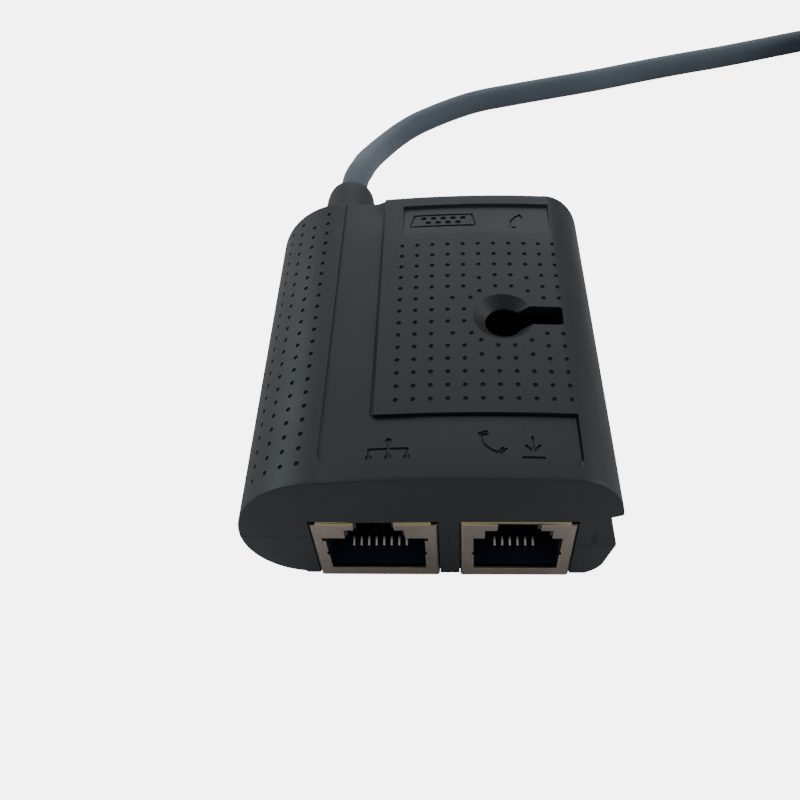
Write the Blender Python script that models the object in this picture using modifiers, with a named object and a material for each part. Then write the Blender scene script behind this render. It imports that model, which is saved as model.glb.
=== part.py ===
"""A small multi-port breakout box with a captive cord, built as separate sub-parts.

Units are metres, +Z is up. The origin is the centre of the box's footprint, on the surface
it rests on. The front, with the network and line-in jacks, faces -Y; the cord leaves the
rear, at +Y; the big rounded side is at -X and the finger groove is at +X.
"""

from math import cos, pi, radians, sin

import bmesh
import bpy
from mathutils import Matrix, Vector

# --- Driving dimensions of the box -------------------------------------------------------
HALF_WIDTH = 0.0236
HALF_LENGTH = 0.0250
WALL = 0.0016
FLOOR = 0.0012
GAP = 0.0003  # clearance between pieces that touch

CROWN_X = 0.0049  # where the gently domed top is highest
CROWN_Z = 0.0244
CROWN_CURVE = 3.1  # fall of the dome, per metre, times the distance squared

# The rounded side is two quarter ellipses that meet at its widest height.
ROUND_Z = 0.0113
ROUND_TOP_X = -0.0125
ROUND_TOP_RISE = 0.0122
ROUND_LOW_X = -0.0155
ROUND_LOW_FALL = 0.0096

# The other side is a rounded shoulder that ends in a lip over a finger groove.
SHOULDER_X = 0.0170
SHOULDER_Z = 0.0155
SHOULDER_RISE = 0.0085
LIP_Z = 0.0165
LIP_EDGE = 0.0002
GROOVE_X = 0.0222
GROOVE_Z = 0.0158
SILL_Z = 0.0092
LOW_CORNER = (0.0184, 0.0052)  # centre of the round between the pad and the sill
LOW_CORNER_RADIUS = 0.0044
REAR_TAPER = 0.0009  # the box is this much narrower at the rear, on the lip's side
TAPER_FROM_X = 0.0140

# The hollow inside the lip's side: a straight wall, a slope and the start of the flat roof.
HOLLOW_SIDE_X = GROOVE_X - WALL - GAP
HOLLOW_SIDE_LOW_Z = 0.0048
HOLLOW_SIDE_HIGH_Z = 0.0172
HOLLOW_SLOPE_END = (0.0186, 0.0206)
HOLLOW_ROOF_X = 0.0160

# The base pad, which the box stands on.
PAD_LEFT = -0.0152
PAD_RIGHT = 0.0176
PAD_CHAMFER_Y = 0.0020
PAD_CHAMFER_Z = 0.0014

# The covers part higher on the rounded side than on the lip's side.
PART_LEFT_Z = 0.0113
PART_RIGHT_Z = 0.0089
PART_STEP_X = 0.0028

# Keyhole, for hanging on a screw.
KEYHOLE = Vector((0.0103, 0.0002, 0.0))
KEYHOLE_RADIUS = 0.0025
KEYHOLE_CONE_RADIUS = 0.0040
KEYHOLE_CONE_DEPTH = 0.0012
KEYHOLE_SLOT_HALF = 0.0015
KEYHOLE_SLOT_END_X = 0.0179

# --- Circuit board ----------------------------------------------------------------------
BOARD_LOW_Z = 0.0148
BOARD_THICKNESS = 0.0016
BOARD_HALF_LENGTH = 0.0228
BOARD_LEFT = -0.0192
BOARD_RIGHT = 0.0186
BOARD_NOTCH_X = -0.0085
BOARD_NOTCH_Y = 0.0120
BOARD_CORNER = 0.0012
POST_RADIUS = 0.0014
POST_PLACES = ((-0.0165, -0.0055), (-0.0165, 0.0030), (0.0155, -0.0055), (0.0155, 0.0070))
POST_ROOT_Z = {-1: 0.0030, 1: 0.0006}

# --- Jacks --------------------------------------------------------------------------------
JACK_BASE_Z = 0.0015
JACK_HEIGHT = 0.0130
SHEET = 0.0003
CONTACT_PITCH = 0.00102
CONTACT_WIDTH = 0.00036
CONTACT_HINGE = (0.0036, 0.00195)  # from the jack's face and from its base
# A contact wire seen from the side, as (y, z) points about its bend at the front lip.
CONTACT_OUTLINE = (
    (-0.0004, -0.00020),
    (-0.0001, -0.00030),
    (0.00035, -0.00005),
    (0.0077, 0.00355),
    (0.0087, 0.00380),
    (0.0087, 0.00415),
    (0.00755, 0.00390),
    (0.00010, 0.00030),
    (-0.00030, 0.00015),
)

# --- Components on the board, with heights and depths in metres -----------------------------
TRANSFORMER = ((-0.0130, 0.0), (-0.0075, 0.0015), 0.0055)  # x range, y range, height
DRIVER_CHIP = ((0.0030, 0.0132), (-0.0070, -0.0010), 0.0022)
CONTROLLER_CHIP = ((-0.0040, 0.0030), (0.0030, 0.0100), 0.0010)
HEADER = ((-0.0175, -0.0095), (0.0062, 0.0125), 0.0060)
CHIP_EDGE = 0.0002
CAPACITOR_XS = (0.0040, 0.0103)
CAPACITOR_Y = 0.0045
CAPACITOR_RADIUS = 0.0024
CAPACITOR_HEIGHT = 0.0055

# --- Cord ---------------------------------------------------------------------------------
CORD_DIAMETER = 0.0045
CORD_RADIUS = CORD_DIAMETER / 2
CORD_CORE_RADIUS = 0.0019
GLAND_X = -0.0137
GLAND_Z = 0.0130
GLAND_END_Y = 0.0420
GLAND_HOLE_RADIUS = 0.0032
GLAND_NECK_RADIUS = 0.0029
GLAND_FLANGE_RADIUS = 0.0041
GLAND_FLANGE_THICKNESS = 0.0020
COLLAR_RADIUS = 0.0049
COLLAR_SHOULDER_Y = 0.0345  # behind the rear wall the collar keeps its width up to here
CORD_STEP = 0.0110  # distance between the points of the cord's tube

# The cord's route from the strain relief to where its tube meets the coil.
CORD_ROUTE = (
    (-0.0137, 0.0423, 0.0130),
    (-0.0134, 0.0455, 0.0127),
    (-0.0126, 0.0495, 0.0114),
    (-0.0121, 0.0555, 0.0090),
    (-0.0105, 0.0635, 0.0057),
    (-0.0075, 0.0715, 0.0033),
    (-0.0043, 0.0760, 0.0026),
    (-0.0008, 0.0791, 0.0023),
    (0.0043, 0.0823, 0.0023),
    (0.0097, 0.0848, 0.0023),
    (0.0183, 0.0871, 0.0023),
    (0.0269, 0.0892, 0.0023),
    (0.0357, 0.0914, 0.0023),
    (0.0446, 0.0940, 0.0023),
    (0.0535, 0.0964, 0.0023),
    (0.0625, 0.0986, 0.0023),
    (0.0717, 0.1012, 0.0023),
    (0.0807, 0.1038, 0.0023),
    (0.0855, 0.1051, 0.0023),
)
# The spare length is wound in a coil of two turns across and three turns high.
COIL_CENTRE = (0.1085, 0.0839)
COIL_MID_RADIUS = 0.0245
COIL_TURNS_ACROSS = 2
COIL_TURNS_HIGH = 3
TIE_THICKNESS = 0.0009
TIE_FOOT_Z = 0.0006
TIE_HALF_WIDTH = 0.0028
TIE_TURN = radians(-60)
# The free end leaves the coil and runs to the plug.
TAIL_ROUTE = (
    (0.1353, 0.0676, 0.0054),
    (0.1353, 0.0635, 0.0040),
    (0.1352, 0.0590, 0.0028),
    (0.1350, 0.0545, 0.0026),
    (0.1347, 0.0505, 0.0036),
    (0.1345, 0.0463, 0.0040),
)
PLUG_X = 0.1345
PLUG_AXIS_Z = 0.0040
PLUG_BACK_Y = 0.0340
PLUG_NOSE_Y = 0.0125
PLUG_HALF_WIDTH = 0.00585
PLUG_HEIGHT = 0.0080
PLUG_EDGE = 0.0004
BOOT_LENGTH = 0.0120
BOOT_RADIUS = 0.0038
LATCH_HINGE = Vector((PLUG_X, 0.0138, 0.0087))
LATCH_LENGTH = 0.0150
LATCH_HALF_WIDTH = 0.0030
LATCH_LOW = (-0.0003, -0.0004)  # from the hinge, along the lever and up
LATCH_TOP_Z = 0.0005
LATCH_RISE = radians(16)

ROUND_SIDES = 24
PARTS_NAME = "breakout_box"
CUTTERS_NAME = "breakout_box_cutters"


# --- Scene and materials --------------------------------------------------------------------
def clear_scene():
    """Removes every object, so that the model is the only thing in the file."""
    for old in list(bpy.data.objects):
        bpy.data.objects.remove(old, do_unlink=True)


def new_collection(name):
    """Adds a collection to the scene and returns it."""
    made = bpy.data.collections.new(name)
    bpy.context.scene.collection.children.link(made)
    return made


def new_material(name, colour, roughness, metallic=0.0):
    """Returns a Principled material with one colour, roughness and metallic value."""
    made = bpy.data.materials.new(name)
    made.use_nodes = True
    shader = made.node_tree.nodes["Principled BSDF"]
    shader.inputs["Base Color"].default_value = (*colour, 1.0)
    shader.inputs["Roughness"].default_value = roughness
    shader.inputs["Metallic"].default_value = metallic
    made.diffuse_color = (*colour, 1.0)
    return made


def add_part(name, mesh, colour, roughness, metallic=0.0, smooth=False):
    """Puts a mesh in the parts' collection as a named sub-part with its own material."""
    made = bpy.data.objects.new(name, mesh)
    bpy.data.collections[PARTS_NAME].objects.link(made)
    mesh.materials.append(new_material(name, colour, roughness, metallic))
    if smooth:
        mesh.shade_smooth()
        mesh.set_sharp_from_angle(angle=radians(35))
    return made


def add_cutter(name, mesh):
    """Puts a mesh in the cutters' collection, drawn as wires and left out of the model."""
    made = bpy.data.objects.new(name, mesh)
    bpy.data.collections[CUTTERS_NAME].objects.link(made)
    made.hide_render = True
    made.display_type = "WIRE"
    return made


def combine(part, tools, operation="DIFFERENCE"):
    """Adds one Boolean modifier to part for each tool object."""
    for tool in tools:
        step = part.modifiers.new(tool.name, "BOOLEAN")
        step.operation = operation
        step.object = tool


# --- Meshes ---------------------------------------------------------------------------------
def box_mesh(name, low, high):
    """A box between two corners."""
    low = Vector(low)
    high = Vector(high)
    shape = bmesh.new()
    bmesh.ops.create_cube(shape, size=1.0)
    bmesh.ops.scale(shape, vec=high - low, verts=shape.verts)
    bmesh.ops.translate(shape, vec=(high + low) / 2, verts=shape.verts)
    return finish_mesh(name, shape)


def finish_mesh(name, shape):
    """Turns a bmesh into a mesh with its faces pointing out."""
    bmesh.ops.recalc_face_normals(shape, faces=shape.faces)
    mesh = bpy.data.meshes.new(name)
    shape.to_mesh(mesh)
    shape.free()
    return mesh


def cylinder_mesh(name, centre, radius_low, radius_high, length, axis="Z", sides=ROUND_SIDES):
    """A cylinder or cone frustum centred on a point, along Z or Y."""
    shape = bmesh.new()
    bmesh.ops.create_cone(
        shape, cap_ends=True, segments=sides, radius1=radius_low, radius2=radius_high, depth=length
    )
    if axis == "Y":
        turn = Matrix.Rotation(radians(-90), 3, "X")
        bmesh.ops.rotate(shape, cent=(0, 0, 0), matrix=turn, verts=shape.verts)
    bmesh.ops.translate(shape, vec=Vector(centre), verts=shape.verts)
    return finish_mesh(name, shape)


def prism_mesh(name, outline, low, high, axis="Y"):
    """A closed outline filled and extruded from low to high along an axis.

    Along Y the outline holds (x, z) points, along X it holds (y, z) points, and along Z it
    holds (x, y) points.
    """
    curve = bpy.data.curves.new(name, "CURVE")
    curve.dimensions = "2D"
    curve.fill_mode = "BOTH"
    curve.extrude = (high - low) / 2
    line = curve.splines.new("POLY")
    line.points.add(len(outline) - 1)
    for point, (across, up) in zip(line.points, outline):
        point.co = (across, up, 0.0, 1.0)
    line.use_cyclic_u = True
    middle = (high + low) / 2
    stand_up = Matrix.Rotation(radians(90), 4, "X")
    if axis == "Y":
        place = Matrix.Translation((0.0, middle, 0.0)) @ stand_up
    elif axis == "X":
        place = Matrix.Translation((middle, 0.0, 0.0)) @ Matrix.Rotation(radians(90), 4, "Z") @ stand_up
    else:
        place = Matrix.Translation((0.0, 0.0, middle))
    return curve_to_mesh(name, curve, place)


def curve_to_mesh(name, curve, place=None):
    """The curve's surface as a mesh, with its caps welded to its sides."""
    holder = bpy.data.objects.new(name + "_curve", curve)
    bpy.context.scene.collection.objects.link(holder)
    graph = bpy.context.evaluated_depsgraph_get()
    mesh = bpy.data.meshes.new_from_object(holder.evaluated_get(graph))
    bpy.data.objects.remove(holder)
    shape = bmesh.new()
    shape.from_mesh(mesh)
    bpy.data.meshes.remove(mesh)
    bmesh.ops.remove_doubles(shape, verts=shape.verts, dist=0.000002)
    if place is not None:
        bmesh.ops.transform(shape, matrix=place, verts=shape.verts)
    return finish_mesh(name, shape)


def turned_part(name, profile, place, colour, roughness, steps=ROUND_SIDES):
    """A solid of revolution about the object's Z axis, from (radius, z) points, top first."""
    shape = bmesh.new()
    corners = [shape.verts.new((radius, 0.0, height)) for radius, height in profile]
    for first, second in zip(corners, corners[1:]):
        shape.edges.new((first, second))
    mesh = bpy.data.meshes.new(name)
    shape.to_mesh(mesh)
    shape.free()
    made = add_part(name, mesh, colour, roughness)
    made.matrix_world = place
    screw = made.modifiers.new("turn", "SCREW")
    screw.axis = "Z"
    screw.angle = 2 * pi
    screw.steps = steps
    screw.render_steps = steps
    screw.use_merge_vertices = True
    screw.merge_threshold = 0.00001
    return made


def smooth_points(route, step):
    """Points about a step apart on a smooth curve through the route's points."""
    ends = [2 * Vector(route[0]) - Vector(route[1])], [2 * Vector(route[-1]) - Vector(route[-2])]
    knots = ends[0] + [Vector(point) for point in route] + ends[1]
    found = [knots[1]]
    for before, start, end, after in zip(knots, knots[1:], knots[2:], knots[3:]):
        pieces = max(1, round((end - start).length / step))
        for piece in range(1, pieces + 1):
            t = piece / pieces
            point = 2 * start + (end - before) * t
            point += (2 * before - 5 * start + 4 * end - after) * t**2
            point += (3 * start - before - 3 * end + after) * t**3
            found.append(point / 2)
    return found


def tube_part(name, points, radius, colour, roughness, resolution=2):
    """A round tube along a list of points, with closed ends."""
    curve = bpy.data.curves.new(name, "CURVE")
    curve.dimensions = "3D"
    curve.bevel_depth = radius
    curve.bevel_resolution = resolution
    curve.render_resolution_u = 0
    curve.use_fill_caps = True
    line = curve.splines.new("POLY")
    line.points.add(len(points) - 1)
    for point, place in zip(line.points, points):
        point.co = (*place, 1.0)
    return add_part(name, curve_to_mesh(name, curve), colour, roughness, smooth=True)


# --- The box's outline ------------------------------------------------------------------------
def crown(x):
    """Height of the domed top at x."""
    return CROWN_Z - CROWN_CURVE * (x - CROWN_X) ** 2


def quarter(centre, reach, rise, start, end, steps):
    """Points of an ellipse from one angle to another, in degrees."""
    found = []
    for step in range(steps + 1):
        angle = radians(start + (end - start) * step / steps)
        found.append((centre[0] + reach * cos(angle), centre[1] + rise * sin(angle)))
    return found


def outer_outline():
    """The box's cross-section as (x, z) points, anticlockwise seen from the front."""
    shoulder = quarter((SHOULDER_X, SHOULDER_Z), HALF_WIDTH - SHOULDER_X, SHOULDER_RISE, 7, 84, 8)
    steps = 10
    top = []
    for step in range(1, steps):
        x = SHOULDER_X + (ROUND_TOP_X - SHOULDER_X) * step / steps
        top.append((x, crown(x)))
    reach_top = HALF_WIDTH + ROUND_TOP_X
    reach_low = HALF_WIDTH + ROUND_LOW_X
    upper = quarter((ROUND_TOP_X, ROUND_Z), reach_top, ROUND_TOP_RISE, 94, 180, 9)
    lower = quarter((ROUND_LOW_X, ROUND_Z), reach_low, ROUND_LOW_FALL, 190, 262, 6)
    pad = [(PAD_LEFT, 0.0), (PAD_RIGHT, 0.0)]
    corner = quarter(LOW_CORNER, LOW_CORNER_RADIUS, LOW_CORNER_RADIUS, 290, 350, 4)
    side = [(HALF_WIDTH, SILL_Z), (GROOVE_X, GROOVE_Z), (HALF_WIDTH - LIP_EDGE, LIP_Z - LIP_EDGE)]
    return pad + corner + side + shoulder + top + upper + lower


def inner_outline():
    """The hollow's cross-section, a wall's thickness inside the box's outline."""
    reach_top = HALF_WIDTH + ROUND_TOP_X - WALL
    reach_low = HALF_WIDTH + ROUND_LOW_X - WALL
    upper = quarter((ROUND_TOP_X, ROUND_Z), reach_top, ROUND_TOP_RISE - WALL, 94, 180, 7)
    lower = quarter((ROUND_LOW_X, ROUND_Z), reach_low, ROUND_LOW_FALL - WALL, 192, 255, 4)
    floor = [(PAD_LEFT + GAP, FLOOR), (PAD_RIGHT + FLOOR, FLOOR)]
    side = [(HOLLOW_SIDE_X, HOLLOW_SIDE_LOW_Z), (HOLLOW_SIDE_X, HOLLOW_SIDE_HIGH_Z), HOLLOW_SLOPE_END]
    top = []
    steps = 6
    for step in range(steps):
        x = HOLLOW_ROOF_X + (ROUND_TOP_X - HOLLOW_ROOF_X) * step / steps
        top.append((x, crown(x) - WALL))
    return floor + side + top + upper + lower


def narrow_to_rear(mesh):
    """Draws the lip's side in a little towards the rear."""
    for corner in mesh.vertices:
        share = max(0.0, corner.co.x - TAPER_FROM_X) / (HALF_WIDTH - TAPER_FROM_X)
        corner.co.x -= REAR_TAPER * share * (corner.co.y + HALF_LENGTH) / (2 * HALF_LENGTH)


def parting_boxes(side):
    """Cutters for all that lies on the far side of the parting line of the upper or lower cover."""
    reach = 0.04
    below = -0.01
    above = 0.05
    found = []
    for low_x, high_x, height in (
        (-reach, PART_STEP_X, PART_LEFT_Z),
        (PART_STEP_X, reach, PART_RIGHT_Z),
    ):
        edge = height + side * GAP / 2
        name = f"past_parting_{'upper' if side > 0 else 'lower'}_{len(found)}"
        nudge = side * GAP / 2
        start = low_x if low_x == -reach else low_x + nudge
        end = high_x if high_x == reach else high_x + nudge
        low_z = below if side > 0 else edge
        high_z = edge if side > 0 else above
        found.append(add_cutter(name, box_mesh(name, (start, -reach, low_z), (end, reach, high_z))))
    return found


# --- Covers ---------------------------------------------------------------------------------
def cover_body(name, side):
    """Half of the hollow box, above or below the parting line."""
    mesh = prism_mesh(name, outer_outline(), -HALF_LENGTH, HALF_LENGTH)
    narrow_to_rear(mesh)
    cover = add_part(name, mesh, (0.030, 0.034, 0.038), 0.55, smooth=True)
    hollow = prism_mesh(name + "_hollow", inner_outline(), WALL - HALF_LENGTH, HALF_LENGTH - WALL)
    narrow_to_rear(hollow)
    combine(cover, [add_cutter(name + "_hollow", hollow)] + parting_boxes(side))
    return cover


def jack_windows():
    """Cutters for the jacks' windows in the end walls, shared by both covers."""
    found = []
    for jack in JACKS:
        half = jack["width"] / 2 + GAP
        face = jack["end"] * HALF_LENGTH
        low_y, high_y = sorted((face + jack["end"] * 0.001, face - jack["end"] * (WALL + 0.001)))
        low = (jack["x"] - half, low_y, JACK_BASE_Z - GAP)
        high = (jack["x"] + half, high_y, JACK_BASE_Z + jack["height"] + GAP)
        name = jack["name"] + "_window"
        found.append(add_cutter(name, box_mesh(name, low, high)))
    return found


def gland_hole():
    """Cutter for the strain relief's hole in the rear wall, shared by both covers."""
    centre = (GLAND_X, HALF_LENGTH, GLAND_Z)
    mesh = cylinder_mesh("gland_hole", centre, GLAND_HOLE_RADIUS, GLAND_HOLE_RADIUS, 4 * WALL, "Y")
    return add_cutter("gland_hole", mesh)


def keyhole_cutters():
    """Cutters for the keyhole: a round hole with a cone above it, and the slot beside it."""
    top = crown(KEYHOLE.x)
    place = Vector((KEYHOLE.x, KEYHOLE.y, top))
    through = cylinder_mesh("keyhole_round", place, KEYHOLE_RADIUS, KEYHOLE_RADIUS, 4 * WALL)
    slope = (KEYHOLE_CONE_RADIUS - KEYHOLE_RADIUS) / KEYHOLE_CONE_DEPTH
    above = 0.0006
    depth = KEYHOLE_CONE_DEPTH + above
    middle = place + Vector((0.0, 0.0, depth / 2 - KEYHOLE_CONE_DEPTH))
    wide = KEYHOLE_CONE_RADIUS + slope * above
    cone = cylinder_mesh("keyhole_cone", middle, KEYHOLE_RADIUS, wide, depth)
    low = (KEYHOLE.x, KEYHOLE.y - KEYHOLE_SLOT_HALF, top - 2 * WALL)
    high = (KEYHOLE_SLOT_END_X, KEYHOLE.y + KEYHOLE_SLOT_HALF, top + 2 * WALL)
    slot = box_mesh("keyhole_slot", low, high)
    meshes = (through, cone, slot)
    return [add_cutter(mesh.name, mesh) for mesh in meshes]


def board_posts(name, low_z_of, high_z_of):
    """Round posts at the board's four support places, as solids to be joined to a cover."""
    found = []
    for number, (x, y) in enumerate(POST_PLACES):
        low = low_z_of(x)
        high = high_z_of(x)
        label = f"{name}_{number}"
        centre = (x, y, (low + high) / 2)
        mesh = cylinder_mesh(label, centre, POST_RADIUS, POST_RADIUS, high - low, sides=12)
        found.append(add_cutter(label, mesh))
    return found


def build_covers():
    """The top cover with its keyhole, and the bottom cover with its base pad."""
    windows = jack_windows()
    hole = gland_hole()
    top = cover_body("top_cover", 1)
    board_top = BOARD_LOW_Z + BOARD_THICKNESS
    combine(top, windows + [hole] + keyhole_cutters())
    combine(
        top,
        board_posts("hold_down_post", lambda x: board_top + GAP, lambda x: crown(x) - WALL / 2),
        "UNION",
    )
    bottom = cover_body("bottom_cover", -1)
    combine(bottom, windows + [hole])
    combine(
        bottom,
        board_posts(
            "board_post", lambda x: POST_ROOT_Z[1 if x > 0 else -1], lambda x: BOARD_LOW_Z - GAP
        ),
        "UNION",
    )
    bevels = []
    past = 0.0010
    for end in (-1, 1):
        outline = [
            (end * (HALF_LENGTH + past), -past),
            (end * (HALF_LENGTH - PAD_CHAMFER_Y), -past / 10),
            (end * HALF_LENGTH, PAD_CHAMFER_Z),
            (end * (HALF_LENGTH + past), PAD_CHAMFER_Z),
        ]
        name = f"pad_chamfer_{'front' if end < 0 else 'rear'}"
        bevels.append(add_cutter(name, prism_mesh(name, outline, -HALF_LENGTH, HALF_LENGTH, "X")))
    combine(bottom, bevels)


# --- Jacks ----------------------------------------------------------------------------------
# Each jack's place and openings. Widths are half widths about its centre line and heights
# are from its base: the plug's way in, the step above it, and the latch's notch on top.
JACKS = (
    {
        "name": "network_jack",
        "end": -1,
        "x": -0.0065,
        "width": 0.0160,
        "height": JACK_HEIGHT,
        "depth": 0.0165,
        "contacts": 8,
        "shielded": True,
        "steps": ((0.0064, 0.0015, 0.0092), (0.0037, 0.0080, 0.0110), (0.00245, 0.0100, 0.0125)),
    },
    {
        "name": "line_in_jack",
        "end": -1,
        "x": 0.01134,
        "width": 0.0143,
        "height": JACK_HEIGHT,
        "depth": 0.0165,
        "contacts": 6,
        "shielded": True,
        "steps": ((0.0056, 0.0015, 0.0092), (0.0042, 0.0080, 0.0108), (0.0026, 0.0100, 0.0125)),
    },
    {
        "name": "serial_jack",
        "end": 1,
        "x": -0.0010,
        "width": 0.0122,
        "height": 0.0124,
        "depth": 0.0157,
        "contacts": 6,
        "shielded": False,
        "steps": ((0.0050, 0.0013, 0.0082), (0.0032, 0.0070, 0.0096), (0.0021, 0.0090, 0.0108)),
    },
    {
        "name": "line_out_jack",
        "end": 1,
        "x": 0.0124,
        "width": 0.0122,
        "height": 0.0124,
        "depth": 0.0157,
        "contacts": 6,
        "shielded": False,
        "steps": ((0.0050, 0.0013, 0.0082), (0.0032, 0.0070, 0.0096), (0.0021, 0.0090, 0.0108)),
    },
)
CAVITY_DEPTH = 0.0136


def jack_place(jack):
    """The matrix from a jack's own frame to the box's: its face centre, low edge, facing out."""
    place = Matrix.Translation((jack["x"], jack["end"] * HALF_LENGTH, JACK_BASE_Z))
    if jack["end"] > 0:
        place = place @ Matrix.Rotation(pi, 4, "Z")
    return place


def placed_box(name, place, low, high):
    """A box given in a jack's own frame, moved to its place."""
    mesh = box_mesh(name, low, high)
    mesh.transform(place)
    return mesh


def way_in_cutters(jack, shrink, reach):
    """Cutters for the jack's stepped way in, a little smaller all round by shrink."""
    found = []
    for number, (half, low, high) in enumerate(jack["steps"]):
        name = f"{jack['name']}_way_{number}_{round(shrink * 1e6)}"
        corner_low = (-half + shrink, -0.001, low)
        corner_high = (half - shrink, reach, high - shrink)
        mesh = placed_box(name, jack_place(jack), corner_low, corner_high)
        found.append(add_cutter(name, mesh))
    return found


def build_shield(jack):
    """The folded sheet-metal can around a jack, with its stepped way in and open back."""
    half = jack["width"] / 2
    name = jack["name"] + "_shield"
    high = (half, jack["depth"], jack["height"])
    mesh = placed_box(name, jack_place(jack), (-half, 0.0, 0.0), high)
    shield = add_part(name, mesh, (0.62, 0.57, 0.52), 0.35, 1.0)
    low = (-half + SHEET, SHEET, SHEET)
    high = (half - SHEET, jack["depth"] + 0.001, jack["height"] - SHEET)
    inside = placed_box(name + "_inside", jack_place(jack), low, high)
    combine(shield, [add_cutter(name + "_inside", inside)] + way_in_cutters(jack, 0.0, 0.002))


def build_housing(jack):
    """The jack's moulded body, with the cavity that takes the plug."""
    inset = SHEET + GAP if jack["shielded"] else 0.0
    half = jack["width"] / 2 - inset
    name = jack["name"] + "_housing"
    low = (-half, inset, inset)
    high = (half, jack["depth"] - inset, jack["height"] - inset)
    mesh = placed_box(name, jack_place(jack), low, high)
    housing = add_part(name, mesh, (0.012, 0.012, 0.014), 0.4)
    combine(housing, way_in_cutters(jack, 0.0002, CAVITY_DEPTH))


def build_contacts(jack):
    """The jack's spring wires, each one bent from the front lip up to its free end."""
    hinge_y, hinge_z = CONTACT_HINGE
    hinge = jack_place(jack) @ Matrix.Translation((0.0, hinge_y, hinge_z))
    for number in range(jack["contacts"]):
        name = f"{jack['name']}_contact_{number + 1}"
        across = (number - (jack["contacts"] - 1) / 2) * CONTACT_PITCH
        low = across - CONTACT_WIDTH / 2
        mesh = prism_mesh(name, CONTACT_OUTLINE, low, low + CONTACT_WIDTH, "X")
        wire = add_part(name, mesh, (0.90, 0.68, 0.32), 0.25, 1.0)
        wire.matrix_world = hinge


def build_jacks():
    """Every jack with its shield, moulded body and contact wires."""
    for jack in JACKS:
        if jack["shielded"]:
            build_shield(jack)
        build_housing(jack)
        build_contacts(jack)


# --- Board and components ----------------------------------------------------------------------
def build_board():
    """The circuit board, over the jacks, with a notch that leaves room for the cord."""
    left, right, far = BOARD_LEFT, BOARD_RIGHT, BOARD_HALF_LENGTH
    cut = BOARD_CORNER
    outline = [
        (left + cut, -far),
        (right - cut, -far),
        (right, -far + cut),
        (right, far - cut),
        (right - cut, far),
        (BOARD_NOTCH_X, far),
        (BOARD_NOTCH_X, BOARD_NOTCH_Y),
        (left, BOARD_NOTCH_Y),
        (left, -far + cut),
    ]
    mesh = prism_mesh("circuit_board", outline, BOARD_LOW_Z, BOARD_LOW_Z + BOARD_THICKNESS, "Z")
    add_part("circuit_board", mesh, (0.02, 0.16, 0.07), 0.5)


def build_components():
    """The components that hang under the board, and the controller on top of it."""
    under = BOARD_LOW_Z - GAP
    over = BOARD_LOW_Z + BOARD_THICKNESS + GAP
    black = (0.02, 0.02, 0.022)
    ivory = (0.75, 0.73, 0.66)
    blocks = (
        ("network_transformer", TRANSFORMER, under - TRANSFORMER[2], black),
        ("serial_driver_chip", DRIVER_CHIP, under - DRIVER_CHIP[2], black),
        ("controller_chip", CONTROLLER_CHIP, over, black),
        ("cord_header", HEADER, under - HEADER[2], ivory),
    )
    for name, (across, along, height), low_z, colour in blocks:
        low = (across[0], along[0], low_z)
        high = (across[1], along[1], low_z + height)
        block = add_part(name, box_mesh(name, low, high), colour, 0.5)
        edge = block.modifiers.new("edge", "BEVEL")
        edge.width = CHIP_EDGE
    for number, x in enumerate(CAPACITOR_XS):
        name = f"capacitor_{number + 1}"
        centre = (x, CAPACITOR_Y, under - CAPACITOR_HEIGHT / 2)
        mesh = cylinder_mesh(name, centre, CAPACITOR_RADIUS, CAPACITOR_RADIUS, CAPACITOR_HEIGHT)
        add_part(name, mesh, (0.60, 0.60, 0.62), 0.35, 1.0, smooth=True)


# --- Cord and what is on it -----------------------------------------------------------------
def build_strain_relief():
    """The moulded strain relief: a flange inside the rear wall, a neck and a tapered collar."""
    inner_face = HALF_LENGTH - WALL - GAP
    inner_end = inner_face - GLAND_FLANGE_THICKNESS
    collar_face = HALF_LENGTH + GAP
    tip_radius = CORD_RADIUS + GAP
    profile = (
        (0.0, GLAND_END_Y),
        (tip_radius, GLAND_END_Y),
        (tip_radius + GAP, COLLAR_SHOULDER_Y + 0.0025),
        (COLLAR_RADIUS - 0.0010, COLLAR_SHOULDER_Y + 0.0010),
        (COLLAR_RADIUS - GAP, COLLAR_SHOULDER_Y),
        (COLLAR_RADIUS, collar_face + GAP),
        (COLLAR_RADIUS - GAP, collar_face),
        (GLAND_NECK_RADIUS, collar_face),
        (GLAND_NECK_RADIUS, inner_face),
        (GLAND_FLANGE_RADIUS, inner_face),
        (GLAND_FLANGE_RADIUS, inner_end),
        (0.0, inner_end),
    )
    place = Matrix.Translation((GLAND_X, 0.0, GLAND_Z)) @ Matrix.Rotation(radians(-90), 4, "X")
    turned_part("strain_relief", profile, place, (0.025, 0.028, 0.032), 0.6)


def build_cord():
    """The cord's core inside the box, its tube, its coil and its free end."""
    jacket = (0.045, 0.055, 0.065)
    start_y = HALF_LENGTH - WALL - GLAND_FLANGE_THICKNESS - 2 * GAP
    core = [Vector((GLAND_X, y, GLAND_Z)) for y in (start_y, HEADER[1][1] + GAP)]
    tube_part("cord_core", core, CORD_CORE_RADIUS, jacket, 0.5)
    tube_part("cord", smooth_points(CORD_ROUTE, CORD_STEP), CORD_RADIUS, jacket, 0.5)
    tube_part("cord_tail", smooth_points(TAIL_ROUTE, CORD_STEP), CORD_RADIUS, jacket, 0.5)
    half = COIL_TURNS_ACROSS * CORD_RADIUS
    high = COIL_TURNS_HIGH * CORD_DIAMETER
    inner = COIL_MID_RADIUS - half
    outer = COIL_MID_RADIUS + half
    profile = ((inner, high), (outer, high), (outer, 0.0), (inner, 0.0), (inner, high))
    place = Matrix.Translation((*COIL_CENTRE, 0.0))
    turned_part("cord_coil", profile, place, jacket, 0.5, steps=40)


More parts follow.
